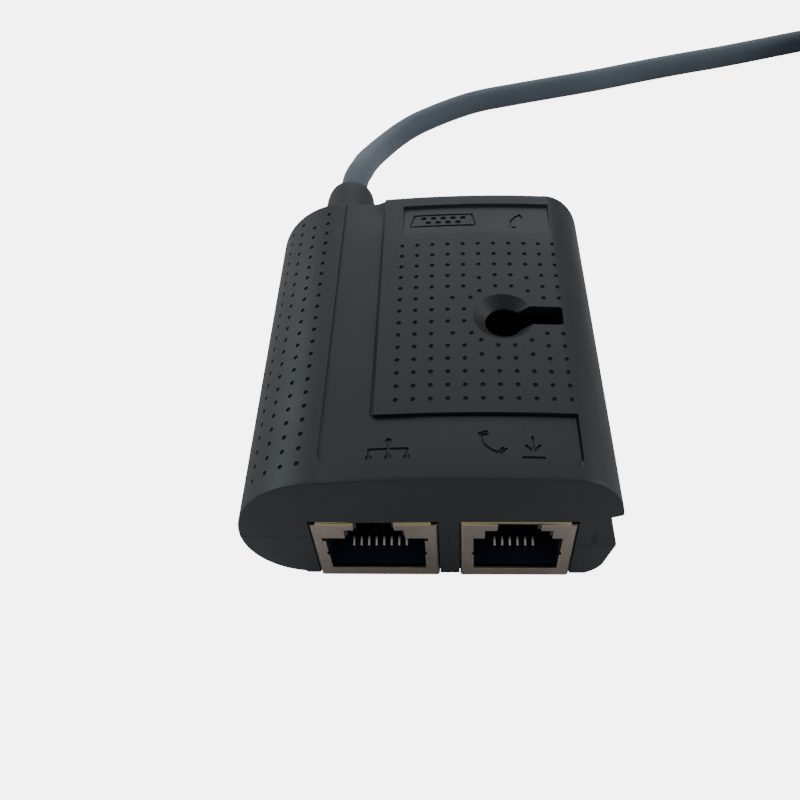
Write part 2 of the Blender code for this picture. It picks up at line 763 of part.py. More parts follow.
def build_coil_tie():
    """The tie that holds the coil: over its top and down both of its sides."""
    half = COIL_TURNS_ACROSS * CORD_RADIUS + GAP
    top = COIL_TURNS_HIGH * CORD_DIAMETER + GAP
    outside = half + TIE_THICKNESS
    outline = [
        (-outside, TIE_FOOT_Z),
        (-half, TIE_FOOT_Z),
        (-half, top),
        (half, top),
        (half, TIE_FOOT_Z),
        (outside, TIE_FOOT_Z),
        (outside, top + TIE_THICKNESS),
        (-outside, top + TIE_THICKNESS),
    ]
    mesh = prism_mesh("coil_tie", outline, -TIE_HALF_WIDTH, TIE_HALF_WIDTH)
    mesh.transform(Matrix.Translation((COIL_MID_RADIUS, 0.0, 0.0)))
    tie = add_part("coil_tie", mesh, (0.02, 0.02, 0.02), 0.6)
    tie.location = (*COIL_CENTRE, 0.0)
    tie.rotation_euler = (0.0, 0.0, TIE_TURN)


def build_plug():
    """The modular plug on the cord's free end: its boot, its body and its latch lever."""
    boot_start = PLUG_BACK_Y + BOOT_LENGTH
    boot_tip = CORD_RADIUS + 2 * GAP
    profile = (
        (0.0, boot_start),
        (boot_tip, boot_start),
        (boot_tip + GAP, boot_start - GAP),
        (BOOT_RADIUS, PLUG_BACK_Y + 4 * GAP),
        (BOOT_RADIUS, PLUG_BACK_Y + GAP),
        (0.0, PLUG_BACK_Y + GAP),
    )
    place = Matrix.Translation((PLUG_X, 0.0, PLUG_AXIS_Z)) @ Matrix.Rotation(radians(-90), 4, "X")
    turned_part("plug_boot", profile, place, (0.03, 0.033, 0.037), 0.6)
    low = (PLUG_X - PLUG_HALF_WIDTH, PLUG_NOSE_Y, 0.0)
    high = (PLUG_X + PLUG_HALF_WIDTH, PLUG_BACK_Y, PLUG_HEIGHT)
    body = add_part("plug_body", box_mesh("plug_body", low, high), (0.03, 0.033, 0.037), 0.3)
    edge = body.modifiers.new("edge", "BEVEL")
    edge.width = PLUG_EDGE
    low = (-LATCH_HALF_WIDTH, *LATCH_LOW)
    high = (LATCH_HALF_WIDTH, LATCH_LENGTH, LATCH_TOP_Z)
    lever = box_mesh("plug_latch", low, high)
    latch = add_part("plug_latch", lever, (0.03, 0.033, 0.037), 0.3)
    latch.location = LATCH_HINGE
    latch.rotation_euler = (LATCH_RISE, 0.0, 0.0)


def main():
    """Builds the whole box with its cord."""
    clear_scene()
    new_collection(PARTS_NAME)
    new_collection(CUTTERS_NAME)
    build_covers()
    build_jacks()
    build_board()
    build_components()
    build_strain_relief()
    build_cord()
    build_coil_tie()
    build_plug()


main()
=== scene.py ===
"""A multi-port breakout box with a captive cord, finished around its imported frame.

Lengths are metres. X runs to the right seen from the front, Y to the rear and Z up; the box
stands on Z = 0. Each sub-assembly is a class that holds its sizes, builds its meshes and
dresses them; each finish is a frozen dataclass that builds one material.
"""

import logging
from contextlib import contextmanager
from dataclasses import dataclass
from enum import Enum
from math import atan2, cos, pi, radians, sin
from typing import Callable, Iterator, Optional, Sequence

import bmesh
import bpy
import numpy as np
from mathutils import Matrix, Vector


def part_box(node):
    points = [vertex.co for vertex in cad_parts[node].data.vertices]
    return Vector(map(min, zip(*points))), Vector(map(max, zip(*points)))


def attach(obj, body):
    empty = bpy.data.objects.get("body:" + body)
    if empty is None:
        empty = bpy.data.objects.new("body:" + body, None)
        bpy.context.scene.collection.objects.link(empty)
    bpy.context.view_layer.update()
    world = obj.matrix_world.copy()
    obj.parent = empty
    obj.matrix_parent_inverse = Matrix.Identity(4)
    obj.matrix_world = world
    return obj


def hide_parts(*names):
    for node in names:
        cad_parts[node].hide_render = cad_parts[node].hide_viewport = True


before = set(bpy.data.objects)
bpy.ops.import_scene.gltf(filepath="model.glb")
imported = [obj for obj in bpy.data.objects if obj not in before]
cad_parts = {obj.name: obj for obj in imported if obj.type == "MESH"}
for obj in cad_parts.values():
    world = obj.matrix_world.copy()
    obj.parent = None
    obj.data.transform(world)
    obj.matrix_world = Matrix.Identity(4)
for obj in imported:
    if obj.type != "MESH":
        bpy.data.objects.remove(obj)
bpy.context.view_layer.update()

LOG = logging.getLogger("breakout_box")
MM = 0.001
MERGE = 0.000005
WELD = 0.000002
ROOT = "box"

Point2 = tuple[float, float]
Point3 = tuple[float, float, float]
Thing = bpy.types.Object
Socket = bpy.types.NodeSocket


# --- Working at the bench ---------------------------------------------------------------------
def take(piece: Thing) -> None:
    """Makes one object the only selected one, and the active one."""
    bpy.ops.object.select_all(action="DESELECT")
    piece.hide_set(False)
    piece.select_set(True)
    bpy.context.view_layer.objects.active = piece


def named(piece: Thing, name: str) -> Thing:
    """Gives an object and its data one name."""
    piece.name = piece.data.name = name
    return piece


def add_fresh(operator: Callable[..., object], **settings: object) -> Thing:
    """Adds a primitive while nothing else is selected, and returns it."""
    bpy.ops.object.select_all(action="DESELECT")
    operator(**settings)
    return bpy.context.object


def linked(name: str, data: bpy.types.ID) -> Thing:
    """Puts data in the scene as a new object, and returns it."""
    made = bpy.data.objects.new(name, data)
    bpy.context.scene.collection.objects.link(made)
    return made


def corners_of(piece: Thing) -> np.ndarray:
    """The places of a mesh's corners, one row each."""
    places = np.zeros(len(piece.data.vertices) * 3)
    piece.data.vertices.foreach_get("co", places)
    return places.reshape(-1, 3)


def place_corners(piece: Thing, places: np.ndarray) -> Thing:
    """Moves a mesh's corners to new places, one row each, and returns the piece."""
    piece.data.vertices.foreach_set("co", places.ravel())
    piece.data.update()
    return piece


def settle(piece: Thing, name: str) -> Thing:
    """Names an object and applies its place, turn and scale to its mesh.

    Args:
        piece: The object.
        name: Its new name.

    Returns:
        The same object, at the origin, unturned and unscaled.
    """
    take(named(piece, name))
    bpy.ops.object.transform_apply(location=True, rotation=True, scale=True)
    return piece


def add_block(name: str, low: Sequence[float], high: Sequence[float]) -> Thing:
    """Adds a box between two corners and returns it."""
    low, high = Vector(low), Vector(high)
    made = add_fresh(bpy.ops.mesh.primitive_cube_add, size=1.0, location=(low + high) / 2)
    made.scale = high - low
    return settle(made, name)


def add_rod(
    name: str,
    start: Sequence[float],
    end: Sequence[float],
    radius: float,
    end_radius: Optional[float] = None,
    sides: int = 32,
) -> Thing:
    """Adds a round rod or cone between two points.

    Args:
        name: The object's name.
        start: Centre of the first end.
        end: Centre of the other end.
        radius: Radius at the first end.
        end_radius: Radius at the other end, the same if left out.
        sides: How many sides it has.

    Returns:
        The rod, settled at the origin.
    """
    start, end = Vector(start), Vector(end)
    reach = end - start
    made = add_fresh(
        bpy.ops.mesh.primitive_cone_add,
        vertices=sides,
        radius1=radius,
        radius2=radius if end_radius is None else end_radius,
        depth=reach.length,
        location=(start + end) / 2,
        rotation=reach.to_track_quat("Z", "Y").to_euler(),
    )
    return settle(made, name)


def add_plate(name: str, outline: Sequence[Point2], low: float, high: float, axis: str = "Z") -> Thing:
    """Adds a flat plate with any outline, as a disc whose rim is moved out and then extruded.

    Args:
        name: The object's name.
        outline: Its corners: (x, y) along Z, (x, z) along Y or (y, z) along X.
        low: Where it starts along the axis.
        high: Where it ends along the axis.
        axis: The axis that it is thick along.

    Returns:
        A closed solid.
    """
    made = add_fresh(
        bpy.ops.mesh.primitive_circle_add, vertices=len(outline), radius=1.0, fill_type="NGON"
    )
    order = {"Z": (0, 1, 2), "Y": (0, 2, 1), "X": (1, 2, 0)}[axis]
    corners = np.zeros((len(outline), 3))
    corners[:, order[0]] = [corner[0] for corner in outline]
    corners[:, order[1]] = [corner[1] for corner in outline]
    corners[:, order[2]] = low
    place_corners(named(made, name), corners)
    step = Vector((0.0, 0.0, 0.0))
    step[order[2]] = high - low
    with editing(made):
        bpy.ops.mesh.select_all(action="SELECT")
        bpy.ops.mesh.extrude_region_move(TRANSFORM_OT_translate={"value": step})
        face_out()
    return made


@contextmanager
def editing(piece: Thing, kind: str = "FACE") -> Iterator[None]:
    """Holds a piece in edit mode, with nothing of it selected."""
    take(piece)
    bpy.ops.object.mode_set(mode="EDIT")
    bpy.ops.mesh.select_mode(type=kind)
    bpy.ops.mesh.select_all(action="DESELECT")
    yield
    bpy.ops.object.mode_set(mode="OBJECT")


def pick(piece: Thing, kind: str, test: Callable[..., bool]) -> None:
    """Selects what a test accepts, in edit mode.

    Args:
        piece: The object being edited.
        kind: "faces" or "edges".
        test: Says whether a face or an edge is wanted.
    """
    bpy.ops.mesh.select_all(action="DESELECT")
    shape = bmesh.from_edit_mesh(piece.data)
    chosen = [item for item in getattr(shape, kind) if test(item)]
    for item in chosen:
        item.select_set(True)
    shape.select_flush_mode()
    bmesh.update_edit_mesh(piece.data)
    if not chosen:
        LOG.warning("nothing on %s was picked", piece.name)


def runs_along(edge: bmesh.types.BMEdge, axis: int, least: float) -> bool:
    """Whether an edge's two ends are further apart along an axis than a length."""
    return abs(edge.verts[0].co[axis] - edge.verts[1].co[axis]) > least


def face_out() -> None:
    """Turns every face of the mesh being edited outwards."""
    bpy.ops.mesh.select_all(action="SELECT")
    bpy.ops.mesh.normals_make_consistent(inside=False)


def finish_with(piece: Thing, kind: str, **settings: object) -> Thing:
    """Adds one modifier with its settings to a piece and applies it."""
    take(piece)
    step = piece.modifiers.new(kind.lower(), kind)
    for setting, value in settings.items():
        setattr(step, setting, value)
    bpy.ops.object.modifier_apply(modifier=step.name)
    return piece


def round_edges(piece: Thing, width: float, segments: int = 2, angle: float = 40.0) -> Thing:
    """Rounds a piece's edges that are sharper than an angle, in degrees."""
    return finish_with(
        piece,
        "BEVEL",
        width=width,
        segments=segments,
        limit_method="ANGLE",
        angle_limit=radians(angle),
        use_clamp_overlap=True,
    )


def carve(piece: Thing, tools: Sequence[Thing], operation: str = "DIFFERENCE") -> Thing:
    """Cuts each tool out of a piece, or joins it on, and removes the tool."""
    for tool in tools:
        before = len(piece.data.vertices)
        finish_with(piece, "BOOLEAN", operation=operation, object=tool, solver="MANIFOLD")
        if len(piece.data.vertices) == before:
            LOG.warning("%s did not change %s", tool.name, piece.name)
        bpy.data.objects.remove(tool)
    return piece


def smooth(piece: Thing, angle: float = 35.0) -> Thing:
    """Shades a piece smoothly except across edges sharper than an angle, in degrees."""
    take(piece)
    bpy.ops.object.shade_smooth_by_angle(angle=radians(angle))
    return piece


def joined(name: str, pieces: Sequence[Thing]) -> Thing:
    """Joins several objects into one with a new name and returns it."""
    bpy.ops.object.select_all(action="DESELECT")
    for piece in pieces:
        piece.select_set(True)
    bpy.context.view_layer.objects.active = pieces[0]
    if len(pieces) > 1:
        bpy.ops.object.join()
    return named(bpy.context.object, name)


def copy_of(piece: Thing, name: str, shift: Sequence[float]) -> Thing:
    """A copy of a piece with its own mesh, moved by a step."""
    take(piece)
    bpy.ops.object.duplicate(linked=False)
    made = bpy.context.object
    made.data.transform(Matrix.Translation(Vector(shift)))
    return named(made, name)


def lathe(name: str, profile: Sequence[Point2], centre: Sequence[float], sides: int = 40) -> Thing:
    """Spins a profile about a line through a point, along Y.

    Args:
        name: The object's name.
        profile: (radius, y) points in order; the ends lie on the axis.
        centre: A point that the axis passes through.
        sides: Steps of the spin.

    Returns:
        The turned solid.
    """
    made = add_fresh(
        bpy.ops.mesh.primitive_circle_add, vertices=len(profile), radius=1.0, fill_type="NOTHING"
    )
    places = [(centre[0] + radius, y, centre[2]) for radius, y in profile]
    place_corners(named(made, name), np.array(places, float))
    with editing(made, "EDGE"):
        closing = {0, len(profile) - 1}
        pick(made, "edges", lambda edge: {vert.index for vert in edge.verts} == closing)
        bpy.ops.mesh.delete(type="EDGE")
        bpy.ops.mesh.select_all(action="SELECT")
        bpy.ops.mesh.spin(steps=sides, angle=2 * pi, center=(centre[0], 0.0, centre[2]), axis=(0, 1, 0))
        bpy.ops.mesh.select_all(action="SELECT")
        bpy.ops.mesh.remove_doubles(threshold=MERGE)
        face_out()
    return made


# --- Node trees -------------------------------------------------------------------------------
class Wiring:
    """Places nodes in one tree and joins their sockets."""

    def __init__(self, tree: bpy.types.NodeTree) -> None:
        """Takes the tree and removes whatever it holds."""
        self.tree = tree
        tree.nodes.clear()

    def add(self, kind: str, inputs: Optional[dict] = None, **settings: object) -> bpy.types.Node:
        """Adds a node.

        Args:
            kind: Its type, without the leading ShaderNode.
            inputs: Values or output sockets for its inputs, by name or number.
            settings: Its own settings.

        Returns:
            The node.
        """
        name = kind if kind.startswith("NodeGroup") else "ShaderNode" + kind
        node = self.tree.nodes.new(name)
        for setting, value in settings.items():
            setattr(node, setting, value)
        for socket, value in (inputs or {}).items():
            self.feed(node.inputs[socket], value)
        return node

    def feed(self, socket: Socket, value: object) -> None:
        """Gives an input a value, or joins it to an output socket."""
        if isinstance(value, Socket):
            self.tree.links.new(value, socket)
        else:
            socket.default_value = value

    def mix(self, share: object, first: object, second: object) -> Socket:
        """A colour mixed from two by a share, as an output socket."""
        node = self.add("Mix", {0: share, 6: first, 7: second}, data_type="RGBA")
        return node.outputs[2]

    def sum(self, operation: str, first: object, second: object = 0.0, third: object = 0.0) -> Socket:
        """The output of one Math node."""
        node = self.add("Math", {0: first, 1: second, 2: third}, operation=operation)
        return node.outputs[0]

    def spread(
        self, value: object, low: float, high: float, start: float = 0.0, end: float = 1.0
    ) -> Socket:
        """A value carried from one range to another, and kept inside it."""
        node = self.add("MapRange", {0: value, 1: low, 2: high, 3: start, 4: end})
        return node.outputs[0]

    def object_place(self) -> Socket:
        """The place on the object, in metres."""
        return self.add("TexCoord").outputs["Object"]

    def noise(self, place: Socket, scale: object, detail: float) -> Socket:
        """A noise at a place, as an output socket."""
        return self.add("TexNoise", {"Vector": place, "Scale": scale, "Detail": detail}).outputs["Fac"]

    def bump(self, shader: bpy.types.Node, height: Socket, distance: float, strength: float) -> None:
        """Raises a shader's surface by a height, times a distance in metres."""
        node = self.add("Bump", {"Height": height, "Distance": distance, "Strength": strength})
        self.feed(shader.inputs["Normal"], node.outputs[0])

    def show(self, kind: str, others: Socket, camera: Socket) -> None:
        """Ends the tree in an output with one shader for the camera and one for all other light.

        Args:
            kind: The output node's type, without the leading ShaderNode.
            others: What light and reflections meet.
            camera: What the camera sees.
        """
        seen = self.add("LightPath")
        shown = self.add("MixShader", {0: seen.outputs["Is Camera Ray"], 1: others, 2: camera})
        self.add(kind, {"Surface": shown.outputs[0]})


class Effect(Enum):
    """The shared node groups, each built once."""

    GRAIN = "moulded_grain"
    WEAR = "edge_wear"
    DUST = "settled_dust"
    BRUSH = "rolled_metal"


class EffectShelf:
    """Builds each shared node group the first time that a finish asks for it."""

    def __init__(self) -> None:
        """Starts with no group built."""
        self.built: dict[Effect, bpy.types.NodeTree] = {}

    def get(self, effect: Effect) -> bpy.types.NodeTree:
        """Returns the group for an effect."""
        if effect not in self.built:
            self.built[effect] = getattr(self, "_" + effect.name.lower())(effect.value)
        return self.built[effect]

    def place(self, wiring: Wiring, effect: Effect, **inputs: object) -> bpy.types.Node:
        """Puts a group in a material with its own values, names spelled with underscores."""
        node = wiring.add("Group")
        node.node_tree = self.get(effect)
        for name, value in inputs.items():
            wiring.feed(node.inputs[name.replace("_", " ").capitalize()], value)
        return node

    @staticmethod
    def _group(name: str, inputs: Sequence[tuple[str, float]], outputs: Sequence[str]) -> tuple:
        """Makes an empty group with float inputs and outputs.

        Args:
            name: The group's name.
            inputs: Names and starting values of its inputs.
            outputs: Names of its outputs.

        Returns:
            The group, its wiring, its input node and its output node.
        """
        group = bpy.data.node_groups.new(name, "ShaderNodeTree")
        for label, value in inputs:
            socket = group.interface.new_socket(label, in_out="INPUT", socket_type="NodeSocketFloat")
            socket.default_value = value
        for label in outputs:
            group.interface.new_socket(label, in_out="OUTPUT", socket_type="NodeSocketFloat")
        wiring = Wiring(group)
        return group, wiring, wiring.add("NodeGroupInput"), wiring.add("NodeGroupOutput")

    def _grain(self, name: str) -> bpy.types.NodeTree:
        """Fine eroded grain of a mould, with slow tone changes."""
        group, wiring, given, gives = self._group(
            name, (("Fineness", 5200.0), ("Patch size", 90.0)), ("Height", "Tone")
        )
        place = wiring.object_place()
        fine = wiring.noise(place, given.outputs["Fineness"], 3.0)
        pits = wiring.add("TexVoronoi", {"Vector": place, "Scale": given.outputs["Fineness"]})
        slow = wiring.noise(place, given.outputs["Patch size"], 4.0)
        height = wiring.sum("MULTIPLY_ADD", pits.outputs["Distance"], 0.45, fine)
        wiring.feed(gives.inputs["Height"], height)
        wiring.feed(gives.inputs["Tone"], slow)
        return group

    def _wear(self, name: str) -> bpy.types.NodeTree:
        """How far a spot lies on a worn convex edge."""
        group, wiring, given, gives = self._group(
            name, (("Radius", 0.0003), ("Amount", 0.5), ("Break up", 700.0)), ("Mask",)
        )
        rounded = wiring.add("Bevel", {"Radius": given.outputs["Radius"]}, samples=6)
        geometry = wiring.add("NewGeometry")
        agree = wiring.add(
            "VectorMath", {0: rounded.outputs[0], 1: geometry.outputs["Normal"]}, operation="DOT_PRODUCT"
        )
        edge = wiring.spread(agree.outputs["Value"], 0.995, 0.86)
        noise = wiring.noise(wiring.object_place(), given.outputs["Break up"], 5.0)
        broken = wiring.spread(noise, 0.38, 0.66)
        mask = wiring.sum("MULTIPLY", edge, broken)
        wiring.feed(gives.inputs["Mask"], wiring.sum("MULTIPLY", mask, given.outputs["Amount"]))
        return group

    def _dust(self, name: str) -> bpy.types.NodeTree:
        """Sparse pale specks, mostly on what faces up."""
        group, wiring, given, gives = self._group(
            name, (("Spacing", 260.0), ("Share", 0.06), ("Size", 0.1)), ("Mask",)
        )
        place = wiring.object_place()
        cells = wiring.add("TexVoronoi", {"Vector": place, "Scale": given.outputs["Spacing"]})
        chosen = wiring.add("SeparateColor", {0: cells.outputs["Color"]})
        here = wiring.sum("LESS_THAN", chosen.outputs[0], given.outputs["Share"])
        near = wiring.sum("LESS_THAN", cells.outputs["Distance"], given.outputs["Size"])
        upward = wiring.add("SeparateXYZ", {0: wiring.add("NewGeometry").outputs["Normal"]})
        facing = wiring.spread(upward.outputs["Z"], 0.2, 0.6)
        mask = wiring.sum("MULTIPLY", wiring.sum("MULTIPLY", here, near), facing)
        wiring.feed(gives.inputs["Mask"], mask)
        return group

    def _brush(self, name: str) -> bpy.types.NodeTree:
        """Faint rolling lines and blotches of plated sheet metal."""
        group, wiring, given, gives = self._group(
            name, (("Line scale", 900.0), ("Blotch scale", 260.0)), ("Lines", "Blotches")
        )
        place = wiring.object_place()
        stretched = wiring.add("Mapping", {"Vector": place, "Scale": (0.06, 1.0, 1.0)})
        lines = wiring.noise(stretched.outputs[0], given.outputs["Line scale"], 4.0)
        blotches = wiring.noise(place, given.outputs["Blotch scale"], 5.0)
        wiring.feed(gives.inputs["Lines"], lines)
        wiring.feed(gives.inputs["Blotches"], blotches)
        return group


SHELF = EffectShelf()
Colour = tuple[float, float, float, float]


def from_screen(red: int, green: int, blue: int) -> Colour:
    """The linear colour for one given in screen values of 0 to 255."""
    linear = [((value / 255 + 0.055) / 1.055) ** 2.4 for value in (red, green, blue)]
    return (*linear, 1.0)


@dataclass(frozen=True)
class Finish:
    """What every finish has: a material slot and a base colour."""

    slot: str
    colour: Colour
    roughness: float = 0.5

    def material(self, name: str) -> bpy.types.Material:
        """Builds the material."""
        made = bpy.data.materials.new(name)
        made.use_nodes = True
        wiring = Wiring(made.node_tree)
        shader = wiring.add("BsdfPrincipled")
        output = wiring.add("OutputMaterial", {"Surface": shader.outputs[0]})
        output.location = (300.0, 0.0)
        self.wire(wiring, shader)
        made.diffuse_color = self.colour
        return made

    def wire(self, wiring: Wiring, shader: bpy.types.Node) -> None:
        """Fills the shader's sockets; each finish has its own way."""
        wiring.feed(shader.inputs["Base Color"], self.colour)

    def shade(self, factor: float) -> Colour:
        """The base colour made lighter or darker by a factor."""
        return (*(min(1.0, part * factor) for part in self.colour[:3]), 1.0)


@dataclass(frozen=True)
class MouldedPlastic(Finish):
    """Opaque moulded plastic with an eroded grain, slow tone changes, worn edges and dust."""

    grain: float = 5200.0
    depth: float = 0.000006
    wear: float = 0.35
    dust: float = 0.0
    specular: float = 0.5
    coat: float = 0.0

    def wire(self, wiring: Wiring, shader: bpy.types.Node) -> None:
        """Joins grain, wear and dust to the shader."""
        grain = SHELF.place(wiring, Effect.GRAIN, fineness=self.grain)
        wear = SHELF.place(wiring, Effect.WEAR, amount=self.wear)
        tone = wiring.spread(grain.outputs["Tone"], 0.3, 0.7)
        colour = wiring.mix(tone, self.shade(0.86), self.shade(1.16))
        colour = wiring.mix(wear.outputs["Mask"], colour, self.shade(2.4))
        rough = wiring.spread(grain.outputs["Tone"], 0.25, 0.75, self.roughness - 0.05, self.roughness + 0.06)
        if self.dust > 0.0:
            dust = SHELF.place(wiring, Effect.DUST, share=self.dust)
            colour = wiring.mix(dust.outputs["Mask"], colour, (0.75, 0.75, 0.72, 1.0))
        wiring.feed(shader.inputs["Base Color"], colour)
        wiring.feed(shader.inputs["Roughness"], rough)
        shader.inputs["Specular IOR Level"].default_value = self.specular
        shader.inputs["Coat Weight"].default_value = self.coat
        wiring.bump(shader, grain.outputs["Height"], self.depth, 0.8)


@dataclass(frozen=True)
class SheetMetal(Finish):
    """Plated or bare sheet metal with rolling lines, blotches and brighter worn edges."""

    tarnish: Colour = (0.2, 0.17, 0.13, 1.0)
    tarnish_share: float = 0.35
    edge_colour: Colour = (0.8, 0.7, 0.5, 1.0)

    def wire(self, wiring: Wiring, shader: bpy.types.Node) -> None:
        """Joins the metal's lines, blotches and edges to the shader."""
        brush = SHELF.place(wiring, Effect.BRUSH)
        wear = SHELF.place(wiring, Effect.WEAR, radius=0.00022, amount=0.8)
        blotch = wiring.spread(brush.outputs["Blotches"], 0.35, 0.75, 0.0, self.tarnish_share)
        colour = wiring.mix(blotch, self.colour, self.tarnish)
        colour = wiring.mix(wear.outputs["Mask"], colour, self.edge_colour)
        wiring.feed(shader.inputs["Base Color"], colour)
        rough = wiring.spread(brush.outputs["Lines"], 0.3, 0.7, self.roughness - 0.08, self.roughness + 0.12)
        wiring.feed(shader.inputs["Roughness"], rough)
        shader.inputs["Metallic"].default_value = 1.0
        wiring.bump(shader, brush.outputs["Lines"], 0.000003, 0.5)


@dataclass(frozen=True)
class ContactPlatingAndShade(Finish):
    """Spring wire plated gold where a plug touches it, near the box's end walls, and near-black behind: a
    painted shade for the wire's run back into the jack's dark notch.
    """

    # Near-black colour of the wire behind the plated tips: painted shade, darker than the bare metal is.
    rear_painted_shade: Colour = (0.010, 0.010, 0.011, 1.0)
    plated_from: float = 0.0214

    def wire(self, wiring: Wiring, shader: bpy.types.Node) -> None:
        """Joins the plating, the near-black painted shade behind it and its fine drawing lines to the shader.
        """
        brush = SHELF.place(wiring, Effect.BRUSH, line_scale=1600.0)
        depth = wiring.add("SeparateXYZ", {0: wiring.object_place()})
        from_middle = wiring.sum("ABSOLUTE", depth.outputs["Y"])
        ragged = wiring.sum("MULTIPLY_ADD", brush.outputs["Blotches"], 0.0004, from_middle)
        # Gold from plated_from out to the tips; nearer the middle the wire takes the near-black painted
        # shade.
        plated = wiring.spread(ragged, self.plated_from - 0.0003, self.plated_from + 0.0003)
        lined = wiring.mix(brush.outputs["Lines"], self.shade(0.75), self.colour)
        wiring.feed(shader.inputs["Base Color"], wiring.mix(plated, self.rear_painted_shade, lined))
        wiring.feed(shader.inputs["Roughness"], wiring.spread(plated, 0.0, 1.0, 0.7, self.roughness))
        shader.inputs["Metallic"].default_value = 1.0
        wiring.bump(shader, brush.outputs["Lines"], 0.000002, 0.4)


@dataclass(frozen=True)
class CordJacket(Finish):
    """Soft vinyl with a satin skin and a faint grain with slow tone changes."""

    def wire(self, wiring: Wiring, shader: bpy.types.Node) -> None:
        """Joins the grain to the shader."""
        grain = SHELF.place(wiring, Effect.GRAIN, fineness=2600.0, patch_size=60.0)
        tone = wiring.spread(grain.outputs["Tone"], 0.3, 0.72)
        colour = wiring.mix(tone, self.shade(0.85), self.shade(1.18))
        wiring.feed(shader.inputs["Base Color"], colour)
        rough = wiring.spread(grain.outputs["Tone"], 0.3, 0.7, self.roughness - 0.06, self.roughness + 0.08)
        wiring.feed(shader.inputs["Roughness"], rough)
        shader.inputs["Sheen Weight"].default_value = 0.25
        shader.inputs["Sheen Roughness"].default_value = 0.4
        wiring.bump(shader, grain.outputs["Height"], 0.000006, 0.6)


@dataclass(frozen=True)
class BoardLaminate(Finish):
    """Solder mask over copper tracks, with small tinned dots."""

    track: Colour = (0.006, 0.016, 0.012, 1.0)

    def wire(self, wiring: Wiring, shader: bpy.types.Node) -> None:
        """Joins the track and dot patterns to the shader."""
        place = wiring.object_place()
        cells = wiring.add(
            "TexVoronoi", {"Vector": place, "Scale": 480.0}, distance="MANHATTAN", feature="F2"
        )
        tracks = wiring.spread(cells.outputs["Distance"], 0.52, 0.56)
        dots = wiring.add("TexVoronoi", {"Vector": place, "Scale": 560.0})
        pads = wiring.sum("LESS_THAN", dots.outputs["Distance"], 0.14)
        colour = wiring.mix(tracks, self.colour, self.track)
        colour = wiring.mix(pads, colour, (0.10, 0.095, 0.085, 1.0))
        rough = wiring.spread(tracks, 0.0, 1.0, self.roughness, self.roughness - 0.1)
        wiring.feed(shader.inputs["Base Color"], colour)
        wiring.feed(shader.inputs["Roughness"], rough)
        wiring.bump(shader, tracks, 0.00003, 0.4)


@dataclass(frozen=True)
class WovenTie(Finish):
    """Hook-and-loop strap: a close weave with a fuzzy pile."""

    weave: float = 1500.0

    def wire(self, wiring: Wiring, shader: bpy.types.Node) -> None:
        """Joins the weave and the pile to the shader."""
        place = wiring.object_place()
        wave = {"Vector": place, "Scale": self.weave, "Distortion": 1.5}
        across = wiring.add("TexWave", wave, bands_direction="X")
        along = wiring.add("TexWave", wave, bands_direction="Y")
        pile = wiring.noise(place, 3200.0, 4.0)
        weave = wiring.sum("MULTIPLY", across.outputs["Fac"], along.outputs["Fac"])
        height = wiring.sum("ADD", weave, pile)
        colour = wiring.mix(wiring.spread(height, 0.4, 1.3), self.shade(0.6), self.shade(1.5))
        wiring.feed(shader.inputs["Base Color"], colour)
        wiring.feed(shader.inputs["Roughness"], wiring.spread(pile, 0.2, 0.8, 0.8, 1.0))
        shader.inputs["Sheen Weight"].default_value = 0.6
        wiring.bump(shader, height, 0.00008, 0.9)


@dataclass(frozen=True)
class ClearPlastic(Finish):
    """Clear moulded polycarbonate with faint flow marks."""

    def wire(self, wiring: Wiring, shader: bpy.types.Node) -> None:
        """Joins faint flow marks to the shader, which lets light through."""
        grain = SHELF.place(wiring, Effect.GRAIN, fineness=900.0, patch_size=180.0)
        tone = wiring.spread(grain.outputs["Tone"], 0.3, 0.7)
        wiring.feed(shader.inputs["Base Color"], wiring.mix(tone, self.shade(0.93), self.colour))
        rough = wiring.spread(grain.outputs["Tone"], 0.3, 0.7, self.roughness, self.roughness + 0.08)
        wiring.feed(shader.inputs["Roughness"], rough)
        shader.inputs["Transmission Weight"].default_value = 0.85
        shader.inputs["IOR"].default_value = 1.49
        wiring.bump(shader, grain.outputs["Tone"], 0.00004, 0.5)


